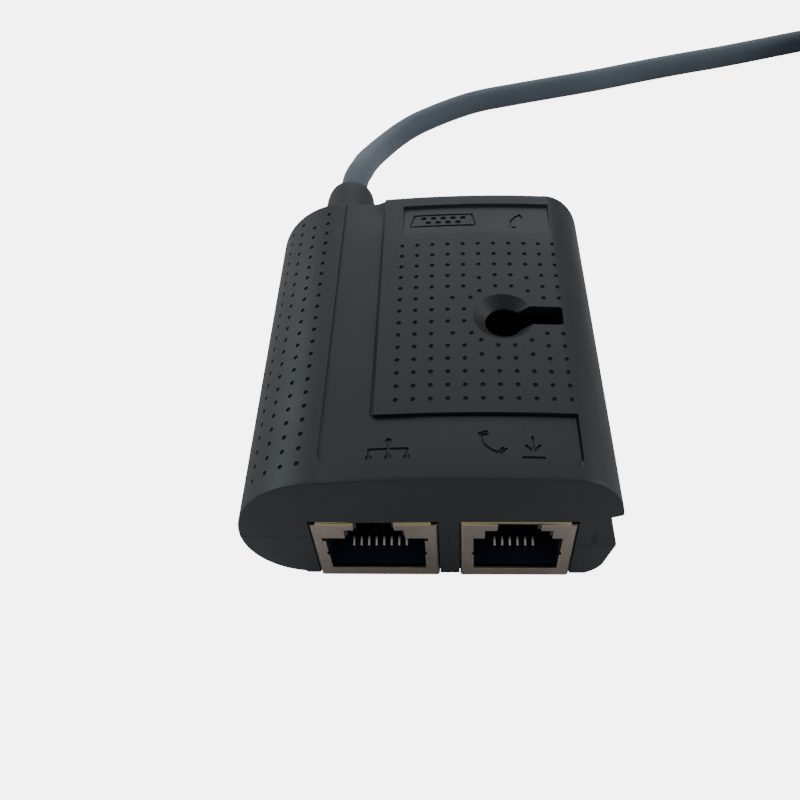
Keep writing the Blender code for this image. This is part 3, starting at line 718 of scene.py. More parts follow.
class Finishes:
    """Every material of the object, built once and handed out by name."""

    PLAN: dict[str, Finish] = {
        "charcoal_cover": MouldedPlastic("cover_plastic", from_screen(29, 33, 37), 0.5, dust=0.012),
        "charcoal_base": MouldedPlastic("cover_plastic", from_screen(30, 33, 37), 0.52),
        "nickel_shield": SheetMetal("jack_shield", from_screen(176, 160, 148), 0.38),
        # A lighter, yellower copy of the shield metal for the fold's upward faces: painted highlight.
        "shield_fold_painted_highlight": SheetMetal("jack_shield", from_screen(214, 196, 150), 0.3),
        # The front jacks' insert: paler and bluer than the black rear jack bodies of the same plastic, a
        # painted sheen for the lit ledge inside the opening.
        "insert_plastic_painted_sheen": MouldedPlastic(
            "jack_plastic", from_screen(38, 46, 59), 0.3, grain=3800.0, depth=0.000003, wear=0.2
        ),
        "black_body": MouldedPlastic("jack_plastic", from_screen(24, 26, 29), 0.35, wear=0.2),
        # Gold tips with a near-black painted shade on the wire behind them.
        "gold_contact_painted_shade": ContactPlatingAndShade("contact_gold", (0.99, 0.90, 0.72, 1.0), 0.4),
        "gold_blade": SheetMetal(
            "contact_gold",
            (0.95, 0.68, 0.32, 1.0),
            0.2,
            tarnish=(0.75, 0.45, 0.15, 1.0),
            tarnish_share=0.25,
            edge_colour=(1.0, 0.86, 0.55, 1.0),
        ),
        "dark_board": BoardLaminate("board_laminate", (0.004, 0.009, 0.007, 1.0), 0.5),
        "epoxy_chip": MouldedPlastic("component_plastic", from_screen(34, 34, 36), 0.55, depth=0.000008),
        "capacitor_sleeve": MouldedPlastic("capacitor_can", from_screen(34, 44, 82), 0.3, wear=0.2, coat=0.3),
        "ivory_header": MouldedPlastic("header_plastic", from_screen(226, 220, 200), 0.45, wear=0.1),
        "relief_rubber": MouldedPlastic(
            "relief_rubber", from_screen(40, 45, 50), 0.6, grain=3600.0, depth=0.000008, wear=0.15
        ),
        "vinyl_jacket": CordJacket("cord_jacket", from_screen(82, 92, 101), 0.62),
        "black_tie": WovenTie("tie_fabric", from_screen(36, 37, 40), 0.9),
        "boot_rubber": MouldedPlastic("boot_rubber", from_screen(52, 57, 62), 0.55, wear=0.15),
        "clear_plug": ClearPlastic("plug_plastic", (0.93, 0.95, 0.96, 1.0), 0.1),
    }

    def __init__(self) -> None:
        """Starts with no material built."""
        self.built: dict[str, bpy.types.Material] = {}

    def get(self, name: str) -> bpy.types.Material:
        """Returns a material, built the first time that it is asked for."""
        if name not in self.built:
            self.built[name] = self.PLAN[name].material(name)
        return self.built[name]

    def dress(self, piece: Thing, *names: str, body: str = ROOT, stands_for: Sequence[str] = ()) -> Thing:
        """Gives a new piece its materials and body, and hides the CAD nodes that it stands for.

        Args:
            piece: The piece.
            names: Its finishes.
            body: The body that it moves with.
            stands_for: The CAD nodes that it replaces.

        Returns:
            The same piece.
        """
        piece.data.materials.clear()
        for name in names:
            piece.data.materials.append(self.get(name))
        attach(piece, body)
        if stands_for:
            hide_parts(*stands_for)
        LOG.info("%s: %d faces, on %s", piece.name, len(getattr(piece.data, "polygons", ())), body)
        return piece

    def coat_node(self, node: str, name: str) -> None:
        """Gives a CAD node that stays a finish of its own."""
        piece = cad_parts[node]
        if not piece.material_slots:
            piece.data.materials.append(self.get(name))
        for held in piece.material_slots:
            held.material = self.get(name)
        LOG.info("%s keeps its shape, finished as %s", node, name)


# --- The box's plan ---------------------------------------------------------------------------
@dataclass(frozen=True)
class JackPlan:
    """One jack: its name, place across the box, window width, end wall and number of wires."""

    name: str
    x: float
    width: float
    end: int
    wires: int


NETWORK = JackPlan("network_jack", -0.0065, 0.0160, -1, 8)
LINE_IN = JackPlan("line_in_jack", 0.01134, 0.0143, -1, 6)
SERIAL = JackPlan("serial_jack", -0.0010, 0.0122, 1, 6)
LINE_OUT = JackPlan("line_out_jack", 0.0124, 0.0122, 1, 6)
JACKS = (NETWORK, LINE_IN, SERIAL, LINE_OUT)
JACK_BASE = 0.0015
CONTACT_PITCH = 0.00102
COIL_CENTRE = (0.1085, 0.0839)


@dataclass(frozen=True)
class Outline:
    """The box's cross-section, seen from the front, with X across and Z up."""

    half_width: float = 0.0236
    half_length: float = 0.0250
    crown_x: float = 0.0049
    crown_z: float = 0.0244
    crown_curve: float = 3.1
    round_z: float = 0.0113
    round_top_x: float = -0.0125
    round_top_rise: float = 0.0122
    round_low_x: float = -0.0155
    round_low_fall: float = 0.0096
    shoulder_x: float = 0.0170
    shoulder_z: float = 0.0155
    shoulder_rise: float = 0.0085
    lip: Point2 = (0.0233, 0.0163)
    groove: Point2 = (0.0222, 0.0158)
    sill_z: float = 0.0092
    corner: Point2 = (0.0184, 0.0052)
    corner_radius: float = 0.0044
    pad: Point2 = (-0.0152, 0.0176)
    wall: float = 0.0016
    rear_taper: float = 0.0009
    taper_from: float = 0.0140

    def crown(self, x: float) -> float:
        """Height of the domed top at x."""
        return self.crown_z - self.crown_curve * (x - self.crown_x) ** 2

    @staticmethod
    def arc(
        centre: Point2, reach: float, rise: float, start: float, end: float, steps: int
    ) -> list[Point2]:
        """Points of an ellipse between two angles, in degrees.

        Args:
            centre: Its middle.
            reach: Half its width.
            rise: Half its height.
            start: The first point's angle.
            end: The last point's angle.
            steps: How many steps lie between them.

        Returns:
            One point more than there are steps.
        """
        turns = [radians(start + (end - start) * step / steps) for step in range(steps + 1)]
        return [(centre[0] + reach * cos(turn), centre[1] + rise * sin(turn)) for turn in turns]

    def upper(self, left_z: float, right_z: float) -> list[Point2]:
        """The outside from the rounded side's parting height over the top to the sill's side.

        Args:
            left_z: Parting height on the rounded side.
            right_z: Parting height on the lip's side.

        Returns:
            Points from left to right.
        """
        reach = self.half_width + self.round_top_x
        side = self.arc((self.round_top_x, self.round_z), reach, self.round_top_rise, 178, 92, 90)
        span = self.shoulder_x - self.round_top_x
        top = [self.round_top_x + span * (step + 0.5) / 60 for step in range(60)]
        over = [(x, self.crown(x)) for x in top]
        fall = self.half_width - self.shoulder_x
        shoulder = self.arc((self.shoulder_x, self.shoulder_z), fall, self.shoulder_rise, 84, 8, 50)
        lip = [(self.half_width - 0.00005, 0.01655), self.lip, self.groove]
        hollow = [(self.groove[0] + 0.0001, self.groove[1] - 0.0012)]
        sill = [(self.half_width, self.sill_z + 0.0002), (self.half_width, right_z)]
        return [(-self.half_width, left_z)] + side + over + shoulder + lip + hollow + sill

    def lower(self, left_z: float, right_z: float) -> list[Point2]:
        """The outside below the parting line, from the right round under the base to the left."""
        corner = self.arc(self.corner, self.corner_radius, self.corner_radius, 350, 290, 16)
        reach = self.half_width + self.round_low_x
        side = self.arc((self.round_low_x, self.round_z), reach, self.round_low_fall, 262, 182, 60)
        pad = [(self.pad[1], 0.0), (self.pad[0], 0.0)]
        return [(self.half_width, right_z)] + corner + pad + side + [(-self.half_width, left_z)]

    def hollow(self) -> list[Point2]:
        """The inside's cross-section, anticlockwise from the floor."""
        wall = self.wall
        reach_top = self.half_width + self.round_top_x - wall
        reach_low = self.half_width + self.round_low_x - wall
        rise_top, fall_low = self.round_top_rise - wall, self.round_low_fall - wall
        upper = self.arc((self.round_top_x, self.round_z), reach_top, rise_top, 94, 180, 14)
        lower = self.arc((self.round_low_x, self.round_z), reach_low, fall_low, 192, 255, 8)
        floor = [(self.pad[0] + 0.0003, 0.0012), (self.pad[1] + 0.0012, 0.0012)]
        side_x = self.groove[0] - wall - 0.0003
        side = [(side_x, 0.0048), (side_x, 0.0172), (0.0186, 0.0206)]
        top = [0.0160 + (self.round_top_x - 0.0160) * step / 12 for step in range(12)]
        return floor + side + [(x, self.crown(x) - wall) for x in top] + upper + lower

    def narrowed(self, places: np.ndarray) -> np.ndarray:
        """Draws the lip's side in a little towards the rear."""
        share = np.maximum(0.0, places[:, 0] - self.taper_from) / (self.half_width - self.taper_from)
        back = (places[:, 1] + self.half_length) / (2 * self.half_length)
        places[:, 0] -= self.rear_taper * share * back
        return places


class Wrap:
    """Carries work done flat onto a path.

    Flat x is the way along the path, y the depth and z the height off it.
    """

    top_from = 0.018

    def __init__(self, path: Sequence[Point2], outline: Outline) -> None:
        """Measures the path and finds which way is out at each of its points."""
        self.path = np.array(path)
        self.outline = outline
        steps = np.diff(self.path, axis=0)
        self.way = np.concatenate([[0.0], np.cumsum(np.hypot(steps[:, 0], steps[:, 1]))])
        tangent = np.gradient(self.path, self.way, axis=0)
        self.out = np.column_stack([-tangent[:, 1], tangent[:, 0]])
        self.out /= np.linalg.norm(self.out, axis=1)[:, None]

    def at_x(self, x: float) -> float:
        """The way along the path to where its top passes over x."""
        top = self.path[:, 1] > self.top_from
        return float(np.interp(x, self.path[top, 0], self.way[top]))

    def bend(self, piece: Thing) -> Thing:
        """Moves a flat piece's corners onto the path."""
        way, depth, height = corners_of(piece).T
        x, z, out_x, out_z = (np.interp(way, self.way, values) for values in (*self.path.T, *self.out.T))
        placed = np.column_stack([x + height * out_x, depth, z + height * out_z])
        return place_corners(piece, self.outline.narrowed(placed))


def drawn_in(corners: Sequence[Point2], margin: float) -> list[Point2]:
    """An anticlockwise outline moved in by a margin, or out by a negative one."""
    sharpest = 0.3
    places = [Vector(corner) for corner in corners]
    found = []
    for before, here, after in zip(places[-1:] + places[:-1], places, places[1:] + places[:1]):
        first, last = (here - before).normalized(), (after - here).normalized()
        inward = Vector((-first.y - last.y, first.x + last.x)).normalized()
        reach = margin / max(sharpest, inward.dot(Vector((-last.y, last.x))))
        found.append(tuple(here + inward * reach))
    return found


def filled(keys: Sequence[float], widest: float, coarse_from: float = 1e9) -> list[float]:
    """Grid lines at every key, with more between them where they are far apart.

    Args:
        keys: Places that need a line.
        widest: Widest space between lines.
        coarse_from: Past this place no line is added.

    Returns:
        The lines in order.
    """
    same = 0.00001
    wanted = sorted(keys)
    lines = [wanted[0]]
    for start, end in zip(wanted, wanted[1:]):
        if end - start < same:
            continue
        pieces = 1 if start >= coarse_from else max(1, round((end - start) / widest))
        lines += [start + (end - start) * step / pieces for step in range(1, pieces + 1)]
    return lines


def add_flat_grid(name: str, columns: Sequence[float], rows: Sequence[float]) -> Thing:
    """Adds a flat grid whose lines lie at the given columns and rows."""
    across, deep = len(columns) - 1, len(rows) - 1
    made = add_fresh(
        bpy.ops.mesh.primitive_grid_add, x_subdivisions=across, y_subdivisions=deep, size=1.0
    )
    flat = corners_of(named(made, name))
    flat[:, 0] = np.array(columns)[np.rint((flat[:, 0] + 0.5) * across).astype(int)]
    flat[:, 1] = np.array(rows)[np.rint((flat[:, 1] + 0.5) * deep).astype(int)]
    flat[:, 2] = 0.0
    return place_corners(made, flat)


@dataclass
class Shell:
    """What both covers share: the wrapped skin, the hollow and the openings in the end walls."""

    outline: Outline
    finishes: Finishes
    edge_round: float = 0.0001
    edge_ease: float = 0.0004
    crease: float = 32.0
    gap: float = 0.00006
    gland: Point2 = (-0.0134, 0.0130)
    gland_radius: float = 0.0032
    jack_height: float = 0.0130
    shield_margin: float = 0.0003
    shield_drop: float = 0.0004
    window_depths: Point2 = (0.0262, 0.0230)
    hole_depths: Point2 = (0.0225, 0.0275)

    def edge_rows(self) -> list[float]:
        """Row places that the rounded front and rear edges need."""
        near = [self.outline.half_length - self.edge_round * share for share in (0.0, 0.12, 0.45, 1.0)]
        return near + [-row for row in near]

    def round_ends(self, skin: Thing, first: float, last: float) -> None:
        """Sinks the flat skin's end rows so that its edges to the end walls are rounded."""
        flat = corners_of(skin)
        inward = np.clip(self.outline.half_length - np.abs(flat[:, 1]), 0.0, self.edge_round)
        sink = self.edge_round - np.sqrt(self.edge_round**2 - (self.edge_round - inward) ** 2)
        ease = np.clip((flat[:, 0] - first) / self.edge_ease, 0.0, 1.0)
        ease = ease * np.clip((last - flat[:, 0]) / self.edge_ease, 0.0, 1.0)
        flat[:, 2] -= sink * ease
        place_corners(skin, flat)

    @staticmethod
    def close_ends(skin: Thing) -> Thing:
        """Joins the wrapped skin into a tube and caps its two ends."""
        with editing(skin, "VERT"):
            bpy.ops.mesh.select_all(action="SELECT")
            bpy.ops.mesh.remove_doubles(threshold=WELD)
            bpy.ops.mesh.select_mode(type="EDGE")
            for end in (-1, 1):
                pick(skin, "edges", lambda edge: edge.is_boundary and edge.verts[0].co.y * end > 0)
                bpy.ops.mesh.edge_face_add()
            face_out()
        return skin

    def hollow_tool(self) -> Thing:
        """The inside of the box, as a tool."""
        depth = self.outline.half_length - self.outline.wall
        tool = add_plate("hollow", self.outline.hollow(), -depth, depth, "Y")
        return place_corners(tool, self.outline.narrowed(corners_of(tool)))

    def opening_tools(self) -> list[Thing]:
        """The jacks' windows and the cord's hole, as tools."""
        tools = []
        for jack in JACKS:
            half = jack.width / 2 + self.gap
            near, far = sorted(jack.end * depth for depth in self.window_depths)
            margin = self.gap + (self.shield_margin if jack.end < 0 else 0.0)
            low_z = JACK_BASE - margin - self.shield_drop * (jack.end < 0)
            high_z = JACK_BASE + self.jack_height + margin
            tools.append(add_block("window", (jack.x - half, near, low_z), (jack.x + half, far, high_z)))
        ends = [(self.gland[0], y, self.gland[1]) for y in self.hole_depths]
        tools.append(add_rod("hole", *ends, self.gland_radius))
        return tools


Mark = tuple[tuple[tuple[float, float, float, float], ...], tuple[Point2, ...]]
MARKS: dict[str, Mark] = {
    # Strokes as x, y of their two ends, then dots as x, y, all in millimetres.
    "network": (
        ((-6.4, -20.4, -1.9, -20.4), (-4.15, -19.3, -4.15, -21.5), (-6.4, -20.4, -6.4, -21.5),
         (-1.9, -20.4, -1.9, -21.5)),
        ((-4.15, -19.2), (-6.4, -21.6), (-4.15, -21.6), (-1.9, -21.6)),
    ),
    "arrow_in": (
        ((12.7, -18.9, 12.7, -21.0), (11.9, -20.1, 12.7, -21.0), (13.5, -20.1, 12.7, -21.0),
         (11.5, -21.8, 13.9, -21.8)),
        (),
    ),
    "handset": (
        ((6.6, -18.6, 7.0, -19.9), (7.0, -19.9, 7.9, -20.8), (7.9, -20.8, 9.1, -21.3),
         (6.5, -18.4, 7.4, -18.1), (6.7, -18.7, 7.5, -18.5), (8.9, -21.4, 9.6, -20.6),
         (8.6, -21.2, 9.2, -20.5)),
        (),
    ),
    "serial": (
        ((-2.4, 18.4, -1.9, 21.0), (-1.9, 21.0, 6.4, 21.0), (6.4, 21.0, 6.9, 18.4), (6.9, 18.4, -2.4, 18.4)),
        ((-0.6, 20.2), (0.85, 20.2), (2.25, 20.2), (3.65, 20.2), (5.1, 20.2), (0.1, 19.2), (1.5, 19.2),
         (2.95, 19.2), (4.4, 19.2)),
    ),
    "rear_handset": (
        ((11.9, 17.9, 12.0, 19.2), (12.0, 19.2, 12.7, 20.3), (12.7, 20.3, 13.4, 20.7),
         (11.8, 17.8, 12.6, 17.8), (13.3, 20.8, 13.6, 20.1)),
        (),
    ),
}


@dataclass
class TopCover(Shell):
    """The domed cover with its keyhole, L-shaped band, dimples and engraved pictograms."""

    left_z: float = 0.01134
    right_z: float = 0.00894
    step_x: float = 0.00284
    pitch: float = 0.0021333
    first_column_x: float = -0.00352
    first_row_y: float = -0.01343
    dimple_radius: float = 0.00034
    block_half: float = 0.00045
    side_ways: tuple[float, ...] = (0.00237, 0.00459, 0.00704, 0.00968, 0.01284, 0.0160)
    keyhole: Point2 = (0.0103, 0.0002)
    keyhole_radius: float = 0.0025
    cone_radius: float = 0.0040
    cone_depth: float = 0.0013
    slot_y: Point2 = (-0.0012, 0.0020)
    slot_end_x: float = 0.0179
    slot_round: float = 0.00045
    step_depths: Point3 = (0.00045, 0.00072, 0.00098)
    line_depth: float = 0.00024
    groove_depth: float = 0.00022
    field_depth: float = 0.00042
    engraving: float = 0.00022
    stroke: float = 0.00036
    dot_wide: float = 2.2
    dot_length: float = 0.00005
    mark_height: float = 0.001
    mark_lift: float = 0.0004
    tool_low: float = -0.0001
    tool_high: float = 0.0008
    cut_every: float = 0.0012
    grid: float = 0.00062
    past_rear: float = 0.0256
    band_left: float = -0.01245
    band_end: Point2 = (0.0183, -0.0230)
    band_bend: Point2 = (-0.0102, -0.0204)
    band_bend_radius: float = 0.0024
    panel_end: Point2 = (0.0182, -0.0156)
    panel_left: float = -0.0064
    panel_bend: Point2 = (-0.0057, -0.0153)
    panel_bend_radius: float = 0.0004
    field_low: Point2 = (-0.0036, 0.0162)
    field_high: Point2 = (0.0179, 0.0230)
    dent_centre: Point3 = (0.0205, -0.0266, 0.0112)
    dent_half: Point3 = (0.0013, 0.0018, 0.0042)
    bowl: tuple[Point2, ...] = ((0.00003, -0.00004), (0.00004, -0.00020), (0.00015, -0.00010))
    groove: tuple[Point2, ...] = (
        (-0.00665, 0.0256), (-0.00665, -0.0153), (-0.0062, -0.01586), (0.0181, -0.01586),
        (0.0181, -0.0222), (0.01838, -0.0222), (0.01838, -0.01556), (-0.0060, -0.01556),
        (-0.00636, -0.0152), (-0.00636, 0.0256),
    )

    def build(self) -> Thing:
        """Builds and dresses the cover."""
        path = self.outline.upper(self.left_z, self.right_z)
        lip_count = len(path)
        path += [(self.step_x, self.right_z), (self.step_x, self.left_z)]
        path += [(-self.outline.half_width, self.left_z)]
        self.wrap = Wrap(path, self.outline)
        self.lip_way = float(self.wrap.way[lip_count - 6])
        skin = self.dimpled_skin(lip_count)
        self.wrap.bend(skin)
        self.close_ends(skin)
        carve(skin, [self.hollow_tool()] + self.opening_tools() + self.keyhole_tools())
        carve(skin, self.recess_tools())
        carve(skin, self.pictogram_tools())
        smooth(skin, self.crease)
        return self.finishes.dress(skin, "charcoal_cover", stands_for=["top_cover"])

    def dimple_places(self) -> list[tuple[float, float, float, float]]:
        """Each dimple's place on the even grid, flat, and how far it is moved aside."""
        moved = {}
        for row in (5, 8):
            moved[3, row] = (0.30, 0.0)
            moved[4, row] = (0.43, 0.0)
        for column in (5, 8):
            for row, shift in ((3, -0.25), (4, -0.42), (9, 0.42), (10, 0.30)):
                moved[column, row] = (0.0, shift)
        found = []
        for column in range(11):
            for row in range(14):
                under_keyhole = row in (6, 7) and column > 4 or row in (5, 8) and 4 < column < 9
                if not under_keyhole:
                    right, back = moved.get((column, row), (0.0, 0.0))
                    way = self.wrap.at_x(self.first_column_x + self.pitch * column)
                    found.append((way, self.row_y(13 - row), right * self.pitch, back * self.pitch))
        edge = self.wrap.at_x(self.outline.round_top_x)
        for number, fall in enumerate(self.side_ways):
            for row in range(-4, 17 if number == 1 else 18):
                found.append((edge - fall, self.row_y(row), 0.0, 0.0))
        return found

    def row_y(self, row: int) -> float:
        """Depth of a row of dimples, counted from the panel's front row."""
        return self.first_row_y + self.pitch * row

    def dimpled_skin(self, lip_count: int) -> Thing:
        """The cover's outside laid flat, with every dimple sunk in it."""
        places = self.dimple_places()
        around = (-self.block_half, -self.block_half / 3, self.block_half / 3, self.block_half)
        corners = list(self.wrap.way[lip_count - 8 :]) + [0.0]
        across = [way + step for way in {place[0] for place in places} for step in around]
        columns = filled(across + corners, self.grid, self.wrap.way[lip_count - 1] - 0.000001)
        deep = [self.row_y(row) + step for row in range(-4, 18) for step in around]
        rows = filled(deep + self.edge_rows(), self.grid)
        skin = add_flat_grid("top_cover_skin", columns, rows)
        self.make_room(skin, places)
        centres = np.array([(way + right, y + back) for way, y, right, back in places])
        self.sink_dimples(skin, centres)
        self.round_ends(skin, 0.0, self.lip_way)
        return skin

    def make_room(self, skin: Thing, places: Sequence[tuple[float, float, float, float]]) -> None:
        """Shifts the grid round each dimple that stands aside of the even pattern."""
        flat = corners_of(skin)
        start = flat.copy()
        for way, y, right, back in places:
            if right or back:
                span = self.pitch - 2 * self.block_half
                share = np.ones(len(flat))
                for axis, centre in ((0, way), (1, y)):
                    off = np.abs(start[:, axis] - centre) - self.block_half
                    share *= np.clip(1.0 - off / span, 0.0, 1.0)
                flat[:, 0] += right * share
                flat[:, 1] += back * share
        place_corners(skin, flat)

    def sink_dimples(self, skin: Thing, centres: np.ndarray) -> None:
        """Turns the block of faces at each centre into a round bowl."""
        middles = np.zeros(len(skin.data.polygons) * 3)
        skin.data.polygons.foreach_get("center", middles)
        middles = middles.reshape(-1, 3)
        near = np.zeros(len(middles), bool)
        for centre in centres:
            near |= np.abs(middles[:, :2] - centre).max(axis=1) < self.block_half
        with editing(skin):
            pick(skin, "faces", lambda face: near[face.index])
            bpy.ops.mesh.dissolve_faces()
            pick(skin, "faces", lambda face: len(face.verts) == 12)
            bpy.ops.mesh.inset(thickness=self.block_half - self.dimple_radius, depth=0.0)
            self.round_rims(skin)
            for thickness, depth in self.bowl:
                bpy.ops.mesh.inset(thickness=thickness, depth=depth)

    def round_rims(self, skin: Thing) -> None:
        """Moves the twelve corners of each selected face onto a circle, in edit mode."""
        shape = bmesh.from_edit_mesh(skin.data)
        for face in shape.faces:
            if face.select:
                middle = face.calc_center_median()
                for vert in face.verts:
                    off = vert.co - middle
                    turn = radians(15 + 30 * round((atan2(off.y, off.x) - radians(15)) / radians(30)))
                    vert.co = middle + self.dimple_radius * Vector((cos(turn), sin(turn), 0.0))
        bmesh.update_edit_mesh(skin.data)

    def keyhole_tools(self) -> list[Thing]:
        """The keyhole's round hole, its cone and its rounded slot, as tools."""
        x, y = self.keyhole
        top = self.outline.crown(x)
        low_z, high_z = top - 0.003, top + 0.001
        slope = (self.cone_radius - self.keyhole_radius) / self.cone_depth
        above = 0.0004
        wide = self.cone_radius + slope * above
        hole = add_rod("hole", (x, y, low_z), (x, y, high_z), self.keyhole_radius, sides=64)
        cone = add_rod(
            "cone", (x, y, top - self.cone_depth), (x, y, top + above), self.keyhole_radius, wide, 96
        )
        slot = add_block("slot", (x, self.slot_y[0], low_z), (self.slot_end_x, self.slot_y[1], high_z))
        with editing(slot, "EDGE"):
            pick(slot, "edges", lambda edge: runs_along(edge, 2, 0.003) and edge.verts[0].co.x > x + 0.001)
            bpy.ops.mesh.bevel(offset=self.slot_round, segments=5, affect="EDGES")
        return [hole, cone, slot]

    def wrapped_tool(
        self,
        name: str,
        corners: Sequence[Point2],
        floor: Callable[[np.ndarray, np.ndarray], np.ndarray],
        slope: float = 0.00014,
    ) -> Thing:
        """A tool with any outline on the cover, with sloping walls and a floor of changing depth.

        Args:
            name: The tool's name.
            corners: (x, y) points, anticlockwise.
            floor: Gives the depth for arrays of the way along the path and of y.
            slope: How far in the floor's rim lies from the outline.

        Returns:
            The tool, wrapped onto the cover.
        """
        rim = [(self.wrap.at_x(x), y) for x, y in corners]
        inner = [Vector(corner) for corner in drawn_in(rim, slope)]
        outer = drawn_in(rim, -2 * slope)
        tool = add_plate(name, inner, self.tool_low, self.tool_high)
        for vert in tool.data.vertices:
            if vert.co.z > 0.0:
                nearest = min(range(len(inner)), key=lambda number: (inner[number] - vert.co.xy).length)
                vert.co.x, vert.co.y = outer[nearest]
        self.divide(tool, rim)
        flat = corners_of(tool)
        under = flat[:, 2] < 0.9 * self.tool_low
        flat[under, 2] = -floor(flat[under, 0], flat[under, 1])
        return self.wrap.bend(place_corners(tool, flat))

    def divide(self, tool: Thing, rim: Sequence[Point2]) -> None:
        """Cuts a flat tool into even strips both ways, so that it can bend."""
        with editing(tool):
            for axis in (0, 1):
                start, end = min(corner[axis] for corner in rim), max(corner[axis] for corner in rim)
                for step in range(1, int((end - start) / self.cut_every)):
                    place = Vector((0.0, 0.0, 0.0))
                    place[axis] = start + self.cut_every * step
                    facing = Vector((1.0 - axis, float(axis), 0.0))
                    bpy.ops.mesh.select_all(action="SELECT")
                    bpy.ops.mesh.bisect(plane_co=place, plane_no=facing)
            bpy.ops.mesh.select_all(action="SELECT")
            bpy.ops.mesh.quads_convert_to_tris()

    def band_floor(self, way: np.ndarray, y: np.ndarray) -> np.ndarray:
        """Depth of the L-shaped band: shallow at its outer lines, deep along the raised panel."""
        across = np.clip((way - self.wrap.at_x(-0.0125)) / 0.0061, 0.0, 1.0)
        along = np.clip((y + 0.0230) / 0.0072, 0.15, 1.0)
        near_panel = np.clip((way - self.wrap.at_x(-0.0064)) / 0.0018 + 1.0, 0.0, 1.0)
        lift = 0.75 * near_panel**2 * np.clip((y - 0.0190) / 0.0060, 0.0, 1.0) ** 2
        step = np.interp(y, (-0.0158, 0.0190, 0.0250), self.step_depths) * (1.0 - lift)
        return self.line_depth + (step - self.line_depth) * across * along

    def groove_floor(self, way: np.ndarray, y: np.ndarray) -> np.ndarray:
        """Depth of the narrow groove between the band and the raised panel."""
        return self.band_floor(way, y) + self.groove_depth * np.clip((0.0240 - y) / 0.0080, 0.0, 1.0)

    def field_floor(self, _way: np.ndarray, y: np.ndarray) -> np.ndarray:
        """Depth of the rear label field, which starts level and deepens to the rear."""
        return self.field_depth * (y - 0.0166) / 0.0064

    def recess_tools(self) -> list[Thing]:
        """The L-shaped band and the tilted rear label field, as tools."""
        bend_round, panel_round = self.band_bend_radius, self.panel_bend_radius
        bend = self.outline.arc(self.band_bend, bend_round, bend_round, 180, 270, 10)
        inner = self.outline.arc(self.panel_bend, panel_round, panel_round, 270, 180, 4)
        band = [(self.band_left, self.past_rear)] + bend + [self.band_end, self.panel_end] + inner
        band += [(self.panel_left, self.past_rear)]
        (left, front), (right, back) = self.field_low, self.field_high
        field = [(left, front), (right, front), (right, back), (left, back)]
        return [
            self.wrapped_tool("band", band, self.band_floor, 0.00022),
            self.wrapped_tool("groove", self.groove, self.groove_floor, 0.00003),
            self.wrapped_tool("field", field, self.field_floor),
            self.dent_tool(),
        ]

    def dent_tool(self) -> Thing:
        """The shallow oval sink mark on the front wall, beside the line-in jack."""
        dent = add_fresh(
            bpy.ops.mesh.primitive_uv_sphere_add, segments=32, ring_count=16, location=self.dent_centre
        )
        dent.scale = self.dent_half
        return settle(dent, "dent")

    def capsule(self, start: Point2, end: Point2, width: float) -> Thing:
        """One engraved stroke, flat, with round ends."""
        made = add_fresh(
            bpy.ops.mesh.primitive_cylinder_add, vertices=12, radius=width / 2, depth=self.mark_height
        )
        first = Vector((self.wrap.at_x(start[0]), start[1]))
        last = Vector((self.wrap.at_x(end[0]), end[1]))
        reach = last - first
        half = Vector((reach.length / 2, 0.0, 0.0))
        for vert in made.data.vertices:
            vert.co += half if vert.co.x > 0 else -half
        turn = Matrix.Rotation(atan2(reach.y, reach.x), 4, "Z")
        middle = (first + last) / 2
        made.data.transform(Matrix.Translation((middle.x, middle.y, self.mark_lift)) @ turn)
        return made

    def pictogram_tools(self) -> list[Thing]:
        """Every engraved mark, each as one tool."""
        tools = []
        for name, (strokes, dots) in MARKS.items():
            bars = [
                self.capsule((x * MM, y * MM), (end_x * MM, end_y * MM), self.stroke)
                for x, y, end_x, end_y in strokes
            ]
            tips = [
                self.capsule((x, y), (x + self.dot_length, y), self.dot_wide * self.stroke)
                for x, y in ((across * MM, back * MM) for across, back in dots)
            ]
            apart = name == "serial"
            carve(bars[0], bars[1:] if apart else bars[1:] + tips, "UNION")
            tool = joined(name, [bars[0]] + (tips if apart else []))
            tools.append(self.sink_tool(tool))
        return tools

    def sink_tool(self, tool: Thing) -> Thing:
        """Lowers a flat mark's floor below the surface that it is cut in, and wraps it."""
        flat = corners_of(tool)
        y = flat[:, 1]
        surface = np.where(y < 0.0, self.band_floor(flat[:, 0], y), self.field_floor(flat[:, 0], y))
        under = flat[:, 2] < self.mark_lift
        flat[under, 2] = -(surface[under] + self.engraving)
        return self.wrap.bend(place_corners(tool, flat))


